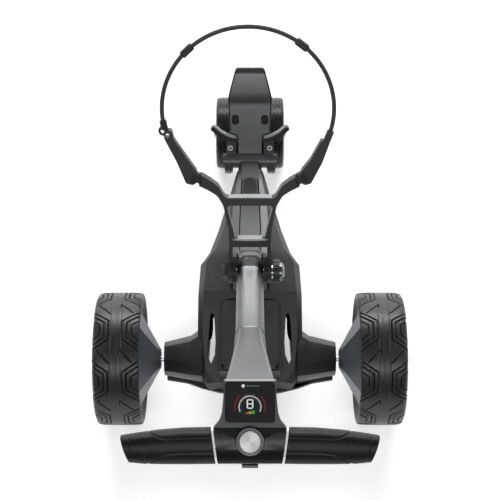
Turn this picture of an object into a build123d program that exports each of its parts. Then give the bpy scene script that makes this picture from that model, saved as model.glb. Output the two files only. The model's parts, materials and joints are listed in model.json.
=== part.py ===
from build123d import *
import math
import os

os.makedirs("parts", exist_ok=True)

# Electric golf trolley, millimetres, +Z up, +Y forward (travel direction).
# Everything is drawn with Y = 0 at the rear axle and moved by Y_SHIFT when it
# is written, so that the origin is the centre of the footprint on the ground.
Y_SHIFT = -93.78

# ---------------------------------------------------------------- dimensions
REAR_R = 135.0            # rear tyre radius
REAR_IN, REAR_OUT = 216.5, 310.0
FRONT_R = 80.0            # front tyre radius
FRONT_Y = 561.0
FRONT_IN, FRONT_OUT = 37.0, 75.0
HINGE_Y, HINGE_Z = 40.0, 480.0      # handle and cradle pivot
BARREL_Y, BARREL_Z = 452.0, 150.0   # front fold pivot
BARREL_R = 16.0
SY, SZ = 0.63, 0.777                # in-plane "up" of the cradle and base plate
CRADLE_T = 9.0                      # half thickness of the cradle
ARM_L = (-99.5, 186.9)              # left arm pivot in the cradle plane
ARM_R = (95.0, 187.1)               # right arm pivot in the cradle plane
HOOP_C = (-3.5, 313.5)              # strap hoop centre in the cradle plane
HOOP_R = 149.0
CORD_R = 4.0
DY, DZ = -0.705, 0.709              # direction of the handle shaft
SHAFT_END = 300.0                   # where the metal tube meets the neck
AXLE_R = 6.0
RUN = 0.05                          # running clearance, radial
WALL = 3.0

n = math.hypot(SY, SZ)
SY, SZ = SY / n, SZ / n
n = math.hypot(DY, DZ)
DY, DZ = DY / n, DZ / n

# ------------------------------------------------------------------- helpers
CR = Plane(origin=(0, HINGE_Y, HINGE_Z), x_dir=(1, 0, 0), z_dir=(0, -SZ, SY))
FR = Plane(origin=(0, BARREL_Y, BARREL_Z), x_dir=(1, 0, 0), z_dir=(0, -SZ, SY))
# shaft plane: local x = X, local y = the visible upper side, local z = along
SH = Plane(origin=(0, HINGE_Y, HINGE_Z), x_dir=(1, 0, 0), z_dir=(0, DY, DZ))


def one(s):
    """Solids of a shape as a plain list."""
    return list(s.solids())


def prism(points, vec):
    return Solid.extrude(Face(Wire.make_polygon(points, close=True)), Vector(*vec))


def prism_x(pts, x0, x1):
    """Prism along X of a (y, z) polygon."""
    return prism([(x0, y, z) for y, z in pts], (x1 - x0, 0, 0))


def prism_z(pts, z0, z1):
    """Prism along Z of an (x, y) polygon."""
    return prism([(x, y, z0) for x, y in pts], (0, 0, z1 - z0))


def rounded(pts, radii, pl, h0, h1):
    """Extruded closed outline with rounded corners, in plane pl."""
    line = FilletPolyline(*[(x, y, 0) for x, y in pts], radius=radii, close=True)
    face = Face(Wire(line.edges()))
    if face.normal_at().Z < 0:
        face = -face
    solid = Solid.extrude(face, Vector(0, 0, h1 - h0))
    return pl * Pos(0, 0, h0) * solid


def flat(pts, pl, h0, h1):
    """Extruded polygon in plane pl."""
    face = Face(Wire.make_polygon([(x, y, 0) for x, y in pts], close=True))
    if face.normal_at().Z < 0:
        face = -face
    return pl * Pos(0, 0, h0) * Solid.extrude(face, Vector(0, 0, h1 - h0))


def cyl_x(y, z, r, x0, x1):
    return Pos((x0 + x1) / 2, y, z) * Rot(0, 90, 0) * Cylinder(r, abs(x1 - x0))


def cyl_in(pl, x, y, r, h0, h1):
    return pl * Pos(x, y, (h0 + h1) / 2) * Cylinder(r, h1 - h0)


def box(x0, x1, y0, y1, z0, z1):
    return Pos((x0 + x1) / 2, (y0 + y1) / 2, (z0 + z1) / 2) * Box(
        abs(x1 - x0), abs(y1 - y0), abs(z1 - z0)
    )


def rev_x(pts, y, z):
    """Solid of revolution about an X line through (y, z); pts are (x, r)."""
    face = Face(Wire.make_polygon([(x, 0, r) for x, r in pts], close=True))
    s = Solid.revolve(face, 360, Axis((0, 0, 0), (1, 0, 0)))
    return Pos(0, y, z) * s


def loft(sections, ruled=True):
    s = Solid.make_loft([Wire.make_polygon(s, close=True) for s in sections], ruled)
    if s.volume < 0:
        s = Solid.make_loft(
            [Wire.make_polygon(list(reversed(q)), close=True) for q in sections], ruled
        )
    return s


def mirror_x(s):
    return s.mirror(Plane.YZ)


def hull_plate(c0, r0, c1, r1, x0, x1):
    """Plate in the YZ plane: two discs joined by their outer tangents."""
    (y0, z0), (y1, z1) = c0, c1
    d = math.hypot(y1 - y0, z1 - z0)
    a = math.atan2(z1 - z0, y1 - y0)
    b = math.acos((r0 - r1) / d)
    pts = []
    for s in (1, -1):
        t = a + s * b
        pts.append(
            (
                (y0 + r0 * math.cos(t), z0 + r0 * math.sin(t)),
                (y1 + r1 * math.cos(t), z1 + r1 * math.sin(t)),
            )
        )
    quad = [pts[0][0], pts[0][1], pts[1][1], pts[1][0]]
    return (
        cyl_x(y0, z0, r0, x0, x1) + cyl_x(y1, z1, r1, x0, x1) + prism_x(quad, x0, x1)
    )


report = []


def put(name, *shapes):
    """Write one node. Every shape's solids are kept as separate solids."""
    solids = []
    for s in shapes:
        solids += one(s)
    moved = [Pos(0, Y_SHIFT, 0) * s for s in solids]
    out = moved[0] if len(moved) == 1 else Compound(children=moved)
    out.label = name
    export_step(out, "parts/%s.step" % name)
    report.append((name, len(solids), sum(s.volume for s in solids)))


# ---------------------------------------------------------- chassis envelope
# station: Y, half width, top flat half width, top Z, side upper Z,
#          side lower Z, bottom Z, bottom half width
STATIONS = [
    (-56, 86, 70, 149, 140, 112, 100, 76),
    (-34, 103, 90, 160, 149, 108, 92, 90),
    (30, 106, 95, 190, 172, 98, 74, 92),
    (109, 105, 94, 230, 206, 92, 62, 90),
    (178, 101, 88, 228, 204, 92, 60, 84),
    (207, 83, 70, 224, 201, 92, 60, 66),
    (262, 66, 54, 210, 190, 96, 64, 52),
    (298, 57, 45, 201, 184, 142, 132, 46),
    (345, 45, 33, 187, 172, 142, 132, 36),
    (400, 33, 22, 170, 160, 142, 133, 26),
    (424, 27, 18, 164, 155, 142, 134, 22),
]


def chassis(off, first=None, last=None):
    secs = []
    for i, (y, w, wt, zt, z2, z1, zb, wb) in enumerate(STATIONS):
        if i == 0:
            y += off
        if i == len(STATIONS) - 1:
            y -= off
        o = off
        secs.append(
            [
                (wb - o * 0.6, y, zb + o),
                (w - o, y, z1 + o * 0.5),
                (w - o, y, z2 - o * 0.5),
                (wt - o * 0.6, y, zt - o),
                (-wt + o * 0.6, y, zt - o),
                (-w + o, y, z2 - o * 0.5),
                (-w + o, y, z1 + o * 0.5),
                (-wb + o * 0.6, y, zb + o),
            ]
        )
    return loft(secs)


outer = chassis(0)
inner = chassis(WALL)

# the hand-hold slots go right through both shells, their front wall leans
# forward so that the hand passes under the deck
SLOT = [(69.5, 18), (72.5, 64), (76, 70), (80, 64), (86, 0), (85.5, -8), (78.5, -22), (71, -6)]


def slot_cutter(grow):
    top = []
    bot = []
    cx, cy = 77.5, 25.0
    for x, y in SLOT:
        dx, dy = x - cx, y - cy
        d = math.hypot(dx, dy)
        x2, y2 = x + dx / d * grow, y + dy / d * grow
        top.append((x2, y2 - (12 if y > 50 else 0), 250.0))
        bot.append((x2, y2 + (58 if y > 50 else 0), 40.0))
    return loft([bot, top])


slot_r = slot_cutter(0)
slot_l = mirror_x(slot_r)
tube_r = slot_cutter(2.5)
tube_l = mirror_x(tube_r)

# battery well
BX, BY0, BY1, BZ0 = 58.0, -46.0, 92.0, 120.0
GAP = 0.6
TW = 2.4
well_cut = box(-BX - GAP - TW - 0.2, BX + GAP + TW + 0.2, BY0 - GAP - TW - 0.2,
               BY1 + GAP + TW + 0.2, BZ0 - GAP - TW - 0.2, 300)

# split between belly pan and deck
SPLIT = [(-80, 112), (190, 112), (300, 148), (440, 148)]
lower_half = prism_x(SPLIT + [(440, 0), (-80, 0)], -150, 150)
upper_half = prism_x(SPLIT + [(440, 400), (-80, 400)], -150, 150)

skin = outer - inner
walls_r = (tube_r - slot_r) & outer
walls_l = mirror_x(walls_r)
core = skin + walls_r + walls_l
core = core - slot_r - slot_l
lower = core & lower_half
upper = (core & upper_half) - well_cut
# neck end plate is open: the spine's throat passes through it
upper = upper - box(-16.2, 16.2, 415, 430, 140, 160)
lower = lower - box(-16.2, 16.2, 415, 430, 130, 160)

# ------------------------------------------------------------ spine (the fin)
TOP0, TOP1 = (75.0, 430.0), (440.0, 167.0)


def top_z(y):
    return TOP0[1] + (TOP1[1] - TOP0[1]) * (y - TOP0[0]) / (TOP1[0] - TOP0[0])


def fin(o):
    """Spine outer envelope less o all round: ridge, shoulders, flanks."""
    secs = []
    rows = [
        # y, ridge half, shoulder half, shoulder drop, base half
        (98, 21, 30, 14, 32, 318),
        (120, 22, 34, 18, 40, 218),
        (200, 22.5, 37, 20, 43, 200),
        (300, 20.5, 34.5, 20, 37.5, 160),
        (370, 18.5, 27, 15, 28.5, 135),
        (414, 17, 25, 12, 25, 134),
        (440, 17, 25, 12, 25, 134),
    ]
    for i, (y, a, b, drop, c, zb) in enumerate(rows):
        if i == 0:
            y += o
        if i == len(rows) - 1:
            y -= o
        zt = top_z(y)
        secs.append(
            [
                (c - o, y, zb + o),
                (b - o, y, zt - drop - o * 0.3),
                (a - o * 0.5, y, zt - o),
                (-a + o * 0.5, y, zt - o),
                (-b + o, y, zt - drop - o * 0.3),
                (-c + o, y, zb + o),
            ]
        )
    return loft(secs)


fin_outer = fin(0)
fin_inner = fin(WALL + 0.5)
spine = fin_outer - fin_inner
spine = spine - outer
# throat that carries the spine into the barrel knuckle
throat = box(-16, 16, 404, 440, 137, 159) + box(-25, 25, 424.2, 446, 136, 160)
knuckle = cyl_x(BARREL_Y, BARREL_Z, BARREL_R, -33.4, 33.4)
spine = spine + throat + knuckle
spine = spine - cyl_x(BARREL_Y, BARREL_Z, 6.0 + RUN, -60, 60)
# hinge fork: two cheeks that rise from the top of the fin to the pivot
CHEEK = [(104, 300), (99, 322), (70, 402), (14, 452), (10, 480), (14, 496), (27, 507),
         (44, 510), (60, 504), (70, 490), (84, 440), (118, 394), (122, 340)]
fork = []
for x0, x1 in ((25.0, 30.8), (-30.8, -25.0)):
    c = rounded(CHEEK, [2, 4, 12, 10, 10, 8, 8, 8, 8, 8, 20, 6, 6], Plane((x0, 0, 0), x_dir=(0, 1, 0), z_dir=(1, 0, 0)), 0, x1 - x0)
    fork.append(c)
bridge = box(-25, 25, 98, 104, 330, 398)
fin_clear = fin(WALL + 0.5)
spine = spine + (fork[0] - fin_clear) + (fork[1] - fin_clear) + (bridge & fin_outer)
spine = spine - cyl_x(HINGE_Y, HINGE_Z, 6.0 + RUN, -60, 60)
# slot for the inlay near the front of the ridge
UX = Plane(origin=(0, TOP0[0], TOP0[1]), x_dir=(1, 0, 0),
           z_dir=(0, -(TOP1[1] - TOP0[1]), TOP1[0] - TOP0[0]))
RIDGE = math.hypot(TOP1[0] - TOP0[0], TOP1[1] - TOP0[1])
inlay_pts = [(-11, 300), (11, 300), (8, 372), (-8, 372)]
inlay_pocket = rounded(inlay_pts, 3, UX, -1.6, 2)
spine = spine - inlay_pocket
inlay = rounded([(-10.6, 300.5), (10.6, 300.5), (7.6, 371.5), (-7.6, 371.5)], 3, UX, -1.6, 0.6)

put("spine_beam", spine)
put("spine_inlay", inlay)

upper = upper - fin_outer
lower = lower - throat
put("deck_shell", upper)
put("belly_pan", lower)

# ------------------------------------------------------------ motor housings
def housing(o):
    secs = []
    rows = [  # x, y0, y1, z0, z1, corner
        (96, -46, 60, 98, 178, 20),
        (120, -41, 44, 100, 172, 20),
        (174, -31, 31, 103, 167, 18),
    ]
    for i, (x, y0, y1, z0, z1, c) in enumerate(rows):
        y0, y1, z0, z1 = y0 + o, y1 - o, z0 + o, z1 - o
        if i == len(rows) - 1:
            x -= o
        if i == 0 and o:
            x -= 1
        c = c - o * 0.6
        secs.append(
            [
                (x, y0 + c, z0), (x, y1 - c, z0), (x, y1, z0 + c), (x, y1, z1 - c),
                (x, y1 - c, z1), (x, y0 + c, z1), (x, y0, z1 - c), (x, y0, z0 + c),
            ]
        )
    return loft(secs)


house = housing(0) - housing(WALL) - outer
house = house - cyl_x(0, REAR_R, 9.2, 160, 190)
# keep only the piece outside the body
house = max(one(house), key=lambda s: s.volume)
put("motor_housings", house, mirror_x(house))

# rear skirt: pale lower lip that runs along the back of body and housings
SK = [(170, -33), (128, -40), (96, -52), (60, -61), (0, -66), (-60, -61), (-96, -52),
      (-128, -40), (-170, -33), (-170, -18), (-100, -20), (-60, -30), (60, -30), (100, -20), (170, -18)]
skirt = rounded(SK, [3, 20, 20, 30, 60, 30, 20, 20, 3, 3, 10, 5, 5, 10, 3], Plane.XY, 94, 102.4)
skirt = skirt - outer - housing(0) - mirror_x(housing(0))
skirt = max(one(skirt), key=lambda s: s.volume)
put("rear_skirt", skirt)

# ------------------------------------------------------- drive units (inside)
def drive(sx):
    m = cyl_x(0, REAR_R, 21, 110, 142) + cyl_x(0, REAR_R, 8, 106, 110)
    g = cyl_x(0, REAR_R, 24, 142.2, 160)
    g = g - cyl_x(0, REAR_R, AXLE_R + RUN, 150, 170)
    b = cyl_x(0, REAR_R, 12, 160.2, 170.8) - cyl_x(0, REAR_R, AXLE_R + RUN, 150, 180)
    s = cyl_x(0, REAR_R, 9.0, 171.2, 173.8) - cyl_x(0, REAR_R, AXLE_R + RUN, 150, 180)
    return [p if sx > 0 else mirror_x(p) for p in (m, g, b, s)]


dr, dl = drive(1), drive(-1)
put("drive_units", dr[0], dr[1], dl[0], dl[1])
put("axle_bearings", dr[2], dr[3], dl[2], dl[3])

# -------------------------------------------------------------- battery group
tray = box(-BX - GAP - TW, BX + GAP + TW, BY0 - GAP - TW, BY1 + GAP + TW, BZ0 - GAP - TW, 196)
tray = tray - box(-BX - GAP, BX + GAP, BY0 - GAP, BY1 + GAP, BZ0 - GAP, 300)
tray_cut = prism_x([(-80, 142), (-34, 156), (30, 185), (104, 222), (130, 300), (-80, 300)], -80, 80)
tray = tray - tray_cut
put("battery_tray", tray)
CASE_TOP = 205.0
case_o = box(-BX, BX, BY0, BY1, BZ0, CASE_TOP)
case_o = fillet(case_o.edges().filter_by(Axis.Z), 10)
case_i = box(-BX + 2.5, BX - 2.5, BY0 + 2.5, BY1 - 2.5, BZ0 + 2.5, CASE_TOP + 1)
put("battery_case", case_o - case_i)
# lid: domed cover with a chamfered crown and a carrying recess
def lid_sec(x, y0, y1, c, z0, z1):
    """Chamfered rectangle whose height rises from z0 at the back to z1."""
    pts = [(x, y0 + c), (x, y1 - c), (x - c, y1), (-x + c, y1), (-x, y1 - c), (-x, y0 + c), (-x + c, y0), (x - c, y0)]
    return [(a, b, z0 + (z1 - z0) * (b - y0) / (y1 - y0)) for a, b in pts]


lid = loft([lid_sec(BX, BY0, BY1, 10, CASE_TOP, CASE_TOP), lid_sec(BX, BY0, BY1, 10, 211, 224),
            lid_sec(BX - 7, BY0 + 9, BY1 - 4, 9, 218, 233)])
lid = lid - box(-28, 28, -12, 2, 209, 260) - box(-28, 28, 24, 38, 209, 260)
put("battery_lid", lid)
cells = []
for i in range(5):
    for j in range(6):
        cells.append(Pos(-44 + i * 22, BY0 + 14.0 + j * 22, BZ0 + 2.6 + 35) * Cylinder(10.3, 70))
put("battery_cells", *cells)

ctrl = box(-42, 42, 128, 226, 72, 108)
ctrl = fillet(ctrl.edges().filter_by(Axis.Z), 5)
fins = [box(-36 + i * 12, -33 + i * 12, 134, 220, 108, 113) for i in range(7)]
for f in fins:
    ctrl = ctrl + f
put("motor_controller", ctrl)

# ------------------------------------------------------------ hinge hardware
bolt = cyl_x(HINGE_Y, HINGE_Z, 6.0, -39.5, 46.0) + cyl_x(HINGE_Y, HINGE_Z, 9.5, 39.7, 42.0)
washer = cyl_x(HINGE_Y, HINGE_Z, 13, 39.65, 41.9) - cyl_x(HINGE_Y, HINGE_Z, 9.6, 30, 50)
put("hinge_bolt", bolt, washer)
knob = cyl_x(HINGE_Y, HINGE_Z, 23, 42.4, 54.0)
for k in range(16):
    t = math.radians(22.5 * k)
    knob = knob - cyl_x(HINGE_Y + 24.2 * math.cos(t), HINGE_Z + 24.2 * math.sin(t), 2.4, 40, 60)
knob = knob - cyl_x(HINGE_Y, HINGE_Z, 6.0 + RUN, 40, 48.5) - cyl_x(HINGE_Y, HINGE_Z, 17.5, 50.0, 60)
put("clamp_knob", knob)
cap = rev_x([(50.0, 0), (50.0, 17.4), (57.5, 17.4), (61.0, 13.5), (62.5, 8), (62.8, 0)], HINGE_Y, HINGE_Z)
put("clamp_knob_cap", cap)
# release button on the left, in a square socket
sock = box(-46.5, -39.6, HINGE_Y - 13, HINGE_Y + 13, HINGE_Z - 13, HINGE_Z + 13)
sock = sock - box(-47, -40.5, HINGE_Y - 10.6, HINGE_Y + 10.6, HINGE_Z - 10.6, HINGE_Z + 10.6)
put("release_socket", sock)
btn = box(-51.5, -43.5, HINGE_Y - 10.3, HINGE_Y + 10.3, HINGE_Z - 10.3, HINGE_Z + 10.3)
btn = fillet(btn.edges().filter_by(Axis.X), 2.5)
put("release_button", btn)

# ---------------------------------------------------------------- the shaft
SEC = [(16, 18), (24, 7), (24, -8), (14, -18), (-14, -18), (-24, -8), (-24, 7), (-16, 18)]
tube = rounded(SEC, [3, 5, 5, 5, 5, 5, 5, 3], SH, 38, SHAFT_END - 0.1)
bore_sec = [(x * (1 - 2.2 / 24), y * (1 - 2.2 / 18)) for x, y in SEC]
tube = tube - rounded(bore_sec, [2.5, 4, 4, 4, 4, 4, 4, 2.5], SH, 20, SHAFT_END + 5)
put("shaft_tube", tube)
NX = 24.4
P = Vector(0, HINGE_Y, HINGE_Z)
nose_a = math.radians(25)
nose = (HINGE_Y + 22 * math.cos(nose_a), HINGE_Z + 22 * math.sin(nose_a))
kn = hull_plate((HINGE_Y, HINGE_Z), 24.0, nose, 15.0, -NX, NX)
foot_sec = [(x * (1 - 2.5 / 24), y * (1 - 2.5 / 18)) for x, y in SEC]
foot = flat(foot_sec, SH, 10, 78)
neckblock = rounded(SEC, [3, 5, 5, 5, 5, 5, 5, 3], SH, 12, 37.8)
kn = kn + neckblock + foot
kn = kn - cyl_x(HINGE_Y, HINGE_Z, 6.0 + RUN, -60, 60)
put("shaft_knuckle", kn)

# ------------------------------------------------- neck, display and handle
def sp(s, nrm):
    """Point on the shaft side view: s along, nrm towards the upper side."""
    return (HINGE_Y + s * DY + nrm * DZ, HINGE_Z + s * DZ - nrm * DY)


CREST = (-347.0, 979.0)
n0t, n0b = sp(SHAFT_END + 0.2, 18), sp(SHAFT_END + 0.2, -18.5)
rows = []
for f, wt, wb in ((0.0, 16.5, 24.2), (0.34, 20.0, 26.5), (0.68, 26.0, 30.5), (1.0, 33.0, 36.0)):
    yt = n0t[0] + (CREST[0] - n0t[0]) * f
    zt = n0t[1] + (CREST[1] - n0t[1]) * f + 7 * math.sin(math.pi * f)
    b1 = (-391.5, 876.0)
    yb = n0b[0] + (b1[0] - n0b[0]) * f
    zb = n0b[1] + (b1[1] - n0b[1]) * f
    rows.append((yt, zt, yb, zb, wt, wb))


def nrow(r, t0, t1, grow):
    """Section between fractions t0 and t1 of the way from top to underside."""
    yt, zt, yb, zb, wt, wb = r
    def at(t):
        return yt + (yb - yt) * t, zt + (zb - zt) * t
    return at(t0), at(t1), wt, wb


top_secs, low_secs, low_in = [], [], []
for i, r in enumerate(rows):
    yt, zt, yb, zb, wt, wb = r
    d = math.hypot(yb - yt, zb - zt)
    def at(mm):
        return yt + (yb - yt) * mm / d, zt + (zb - zt) * mm / d
    (ya, za), (yc, zc) = at(0), at(5.0)
    wm = wt + (wb - wt) * 0.3
    top_secs.append([(wt - 3, ya, za), (wt, *at(1.5)), (wm, yc, zc), (-wm, yc, zc), (-wt, *at(1.5)), (-wt + 3, ya, za)])
    (yd, zd), (ye, ze), (yf, zf) = at(5.2), at(d * 0.42), at(d - 6)
    low_secs.append([(wm + 0.6, yd, zd), (wb, ye, ze), (wb, yf, zf), (wb - 8, yb, zb),
                     (-wb + 8, yb, zb), (-wb, yf, zf), (-wb, ye, ze), (-wm - 0.6, yd, zd)])
    (yd, zd), (ye, ze), (yf, zf), (yg, zg) = at(8.2), at(d * 0.42), at(d - 8), at(d - 3)
    k = 3.0
    low_in.append([(wm - k, yd, zd), (wb - k, ye, ze), (wb - k, yf, zf), (wb - 8 - k, yg, zg),
                   (-wb + 8 + k, yg, zg), (-wb + k, yf, zf), (-wb + k, ye, ze), (-wm + k, yd, zd)])
put("neck_top_cover", loft(top_secs))
neck_low = loft(low_secs) - loft(low_in)
spig_sec = [(x * (1 - 2.4 / 24), y * (1 - 2.4 / 18)) for x, y in SEC]
spig_in = [(x * (1 - 5.4 / 24), y * (1 - 5.4 / 18)) for x, y in SEC]
spigot = flat(spig_sec, SH, SHAFT_END - 60, SHAFT_END + 0.2) - flat(spig_in, SH, SHAFT_END - 62, SHAFT_END + 2)
collar = flat([(x * 0.985, y * 0.985) for x, y in SEC], SH, SHAFT_END + 0.2, SHAFT_END + 6)
collar = collar - flat(spig_in, SH, SHAFT_END - 2, SHAFT_END + 8)
collar = collar & loft(low_secs)
neck_low = neck_low + spigot + collar
neck_low = max(one(neck_low), key=lambda s: s.volume)
put("neck_lower_shell", neck_low)

# display housing: crest, sloping face, seam with the grip core
TY, TZ = 0.93 / math.hypot(0.93, 0.36), 0.36 / math.hypot(0.93, 0.36)   # face direction, forward and up
DIAL = (-427.0, 950.0)


def fp(t, h):
    """Face side view: t forward from the dial centre, h out of the face."""
    return (DIAL[0] + t * TY - h * TZ, DIAL[1] + t * TZ + h * TY)


FACE = Plane(origin=(0, *DIAL), x_dir=(1, 0, 0), z_dir=(0, -TZ, TY))
SEAM_T = 19.0
crest_t = 84.5
hs_profile = [fp(crest_t, -0.6), fp(crest_t + 2.2, -4), (CREST[0] + 0.6, CREST[1] - 8), (-391.0, 876.6), (-404, 893),
              fp(SEAM_T + 0.2, -52), fp(SEAM_T + 0.2, 0)]
hs = prism_x([fp(crest_t - 1.5, 0), fp(crest_t + 1.5, -3), fp(crest_t + 1.6, -6), (-390.9, 876.8), (-405, 893),
              fp(SEAM_T + 0.2, -50), fp(SEAM_T + 0.2, 0)], -60, 60)
hs = hs & flat([(36, crest_t + 3), (37, 60), (39, 40), (43, 28), (50.4, SEAM_T + 0.2), (-50.4, SEAM_T + 0.2),
                (-43, 28), (-39, 40), (-37, 60), (-36, crest_t + 3)], FACE, -140, 5)
hs_in = prism_x([fp(crest_t - 4, -3), fp(crest_t - 5, -9), (-390, 886), (-402, 897),
                 fp(SEAM_T + 3.2, -46), fp(SEAM_T + 3.2, -3)], -60, 60)
hs_in = hs_in & flat([(33, crest_t + 3), (34, 60), (36, 40), (40, 28), (46, SEAM_T + 0.2), (-46, SEAM_T + 0.2),
                      (-40, 28), (-36, 40), (-34, 60), (-33, crest_t + 3)], FACE, -140, 5)
neck_block = loft([[(x, y, z) for x, y, z in s] for s in low_secs[-2:]])
hs = hs - hs_in - loft(low_secs) - loft(top_secs) - loft(low_in)
hs = max(one(hs), key=lambda s: s.volume)
DX, DT0, DT1 = 34.6, 25.5, 82.0
hs = hs - rounded([(-DX - 0.3, DT0 - 0.3), (DX + 0.3, DT0 - 0.3), (DX + 0.3, DT1 + 0.3), (-DX - 0.3, DT1 + 0.3)], 5.3, FACE, -2.4, 3)
hs = hs - rounded([(-26, 32), (26, 32), (26, 76), (-26, 76)], 2, FACE, -5, 3)
put("display_housing", hs)
glass = rounded([(-DX, DT0), (DX, DT0), (DX, DT1), (-DX, DT1)], 5, FACE, -2.0, 0.5)
put("display_glass", glass)
panel = rounded([(-25, 33), (25, 33), (25, 75), (-25, 75)], 1, FACE, -4.4, -2.2)
board = flat([(-29, 30), (29, 30), (29, 78), (-29, 78)], FACE, -10.0, -8.2)
chip = flat([(-8, 45), (8, 45), (8, 60), (-8, 60)], FACE, -12.4, -10.0)
put("display_module", panel, board + chip)
trim = flat([(-33.5, crest_t - 1.0), (33.5, crest_t - 1.0), (33.5, crest_t + 1.4), (-33.5, crest_t + 1.4)], FACE, 0.05, 1.2)
trim = trim - loft(top_secs)
trim = max(one(trim), key=lambda s: s.volume)

# grip core between the two slanted rings
CORE = [fp(19, 0), fp(3, 1.0), fp(-12, -1.0), fp(-24, -6), fp(-31, -14), fp(-33, -24), fp(-29, -35),
        fp(-18, -43), fp(-2, -46), fp(12, -45), fp(19, -42)]


def bar_prism(x0f, x0r, x1f, x1r, pts, lo=-60, hi=20):
    """Bar slice whose ends lean: x at the front edge and at the rear edge."""
    sol = prism_x(pts, -220, 220)
    cut = flat([(x0f, 24), (x1f, 24), (x1r, -38), (x0r, -38)], FACE, lo, hi)
    return sol & cut


core = bar_prism(-51.2, -44.2, 51.2, 44.2, CORE)
core_in = prism_x([(y, z) for y, z in [fp(16, -3), fp(3, -2.2), fp(-12, -4.2), fp(-22, -9), fp(-27.5, -16), fp(-29, -24),
                  fp(-26, -33), fp(-16, -39.5), fp(-2, -42.5), fp(12, -41.5), fp(16, -39)]], -40, 40)
core = core - core_in
core = core - cyl_in(FACE, 0, 0, 8.2, -20, 8) - cyl_in(FACE, 0, 0, 20.4, -0.8, 8)
# handle bar tube passes through the core and both grips
BAR = fp(-6.5, -23)
BAR_R = 11.0
# USB port at the back
port = Pos(0, 0, 0) * box(-9, 9, fp(-31, 0)[0] - 6, fp(-31, 0)[0] + 14, 930 - 6, 930 + 3)
PORT_Y = fp(-33, -22)[0]
PORT_Z = fp(-33, -22)[1]
port_cut = box(-8.2, 8.2, PORT_Y - 10, PORT_Y + 7, PORT_Z - 4.2, PORT_Z + 4.2)
core = core - port_cut - cyl_x(*BAR, BAR_R + 0.05, -80, 80)
usb = box(-7.9, 7.9, PORT_Y + 1.5, PORT_Y + 6.9, PORT_Z - 3.9, PORT_Z + 3.9) - box(-6, 6, PORT_Y - 1, PORT_Y + 5, PORT_Z - 2.2, PORT_Z + 2.2)
usb = usb + box(-5, 5, PORT_Y + 2.5, PORT_Y + 5.2, PORT_Z - 0.8, PORT_Z + 0.8)
core = core + box(-8.3, 8.3, PORT_Y + 6.5, PORT_Y + 8, PORT_Z - 4.3, PORT_Z + 4.3) + box(-5, 5, PORT_Y + 2.0, PORT_Y + 7, PORT_Z - 0.8, PORT_Z + 0.8)
core = max(one(core), key=lambda s: s.volume)
put("handle_core", core)
flap = box(-11.5, 11.5, PORT_Y - 3.6, PORT_Y - 1.0, PORT_Z - 6.5, PORT_Z + 6.8)
flap = fillet(flap.edges().filter_by(Axis.Y), 2)
put("usb_cover", flap)

bar = cyl_x(*BAR, BAR_R, -172, 172) - cyl_x(*BAR, BAR_R - 2, -180, 180)
put("handle_bar_tube", bar)


def lerp(a, b, t):
    return a + (b - a) * t


def grip_sec(x, k, tf, tr, drop):
    """Grip section at x: front edge tf, rear edge tr, k thickness scale."""
    mid = (tf + tr) / 2
    hw = (tf - tr) / 2
    base = [(1.0, -0.45), (0.82, -0.16), (0.45, 0.0), (-0.1, 0.0), (-0.6, -0.12), (-0.92, -0.34),
            (-1.0, -0.56), (-0.86, -0.82), (-0.45, -1.0), (0.1, -1.0), (0.6, -0.92), (0.92, -0.72)]
    return [(x(t * hw + mid), *fp(t * hw + mid, h * 44 * k + drop)) for t, h in base]


def gx(xf, xr):
    """X as a linear function of the face coordinate t, so ends lean."""
    def f(t):
        return xr + (xf - xr) * (t + 33) / 52.0
    return f


ring_secs = lambda a, b: loft([grip_sec(gx(*a), 1.0, 18.9, -32.6, 0.6), grip_sec(gx(*b), 1.0, 18.9, -32.6, 0.6)])
ring = ring_secs((51.6, 44.8), (54.4, 47.6)) - cyl_x(*BAR, BAR_R + 0.05, -80, 80)
put("chrome_trim", ring, mirror_x(ring), trim)
grip = loft(
    [
        grip_sec(gx(54.6, 47.8), 1.0, 18.9, -32.6, 0.4),
        grip_sec(gx(92, 86), 0.97, 18.3, -33.0, 0.0),
        grip_sec(gx(128, 120), 0.93, 15.5, -33.0, -1.0),
        grip_sec(gx(158, 148), 0.88, 11.5, -32.5, -2.5),
        grip_sec(gx(184.5, 169), 0.80, 7.6, -30.5, -4.5),
    ]
)
grip = grip - cyl_x(*BAR, BAR_R + 0.05, 20, 172.4)
put("hand_grips", grip, mirror_x(grip))

# speed dial: pressed stem, turning ring and cap
stem = cyl_in(FACE, 0, 0, 8.1, -10.5, -0.9) + cyl_in(FACE, 0, 0, 12, -0.9 + 2.2, 4.0) + cyl_in(FACE, 0, 0, 8.1, -0.9, 2.0)
stem = stem - cyl_in(FACE, 0, 0, 30, -20, -19)
put("dial_stem", stem)
ring_o = cyl_in(FACE, 0, 0, 19.2, 1.4, 8.5) - cyl_in(FACE, 0, 0, 12.05, 0, 9)
for k in range(36):
    t = math.radians(10 * k)
    ring_o = ring_o - cyl_in(FACE, 19.8 * math.cos(t), 19.8 * math.sin(t), 0.9, 0, 12)
put("dial_ring", ring_o)
dcap = cyl_in(FACE, 0, 0, 14.6, 8.55, 12.0) + cyl_in(FACE, 0, 0, 11.9, 4.1, 8.55)
dcap = fillet(dcap.edges().filter_by(GeomType.CIRCLE).sort_by(SortBy.DISTANCE, reverse=False)[:0] or dcap.edges().filter_by(GeomType.CIRCLE).sort_by(lambda e: (e.center() - Vector(0, *DIAL)).dot(Vector(0, -TZ, TY)))[-1:], 0.8)
put("dial_cap", dcap)

# ------------------------------------------------------------------- cradle
R_OUT = [(39.3, -2), (39.3, 42), (38, 62), (38.6, 86), (43, 110), (47.5, 136), (58, 155), (73, 165), (103, 181)]
R_IN = [(88, 196), (70, 184.5), (56, 173), (43, 149)]
outline = R_OUT + R_IN + [(-x, y) for x, y in reversed(R_IN)] + [(-x, y) for x, y in reversed(R_OUT)]
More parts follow.
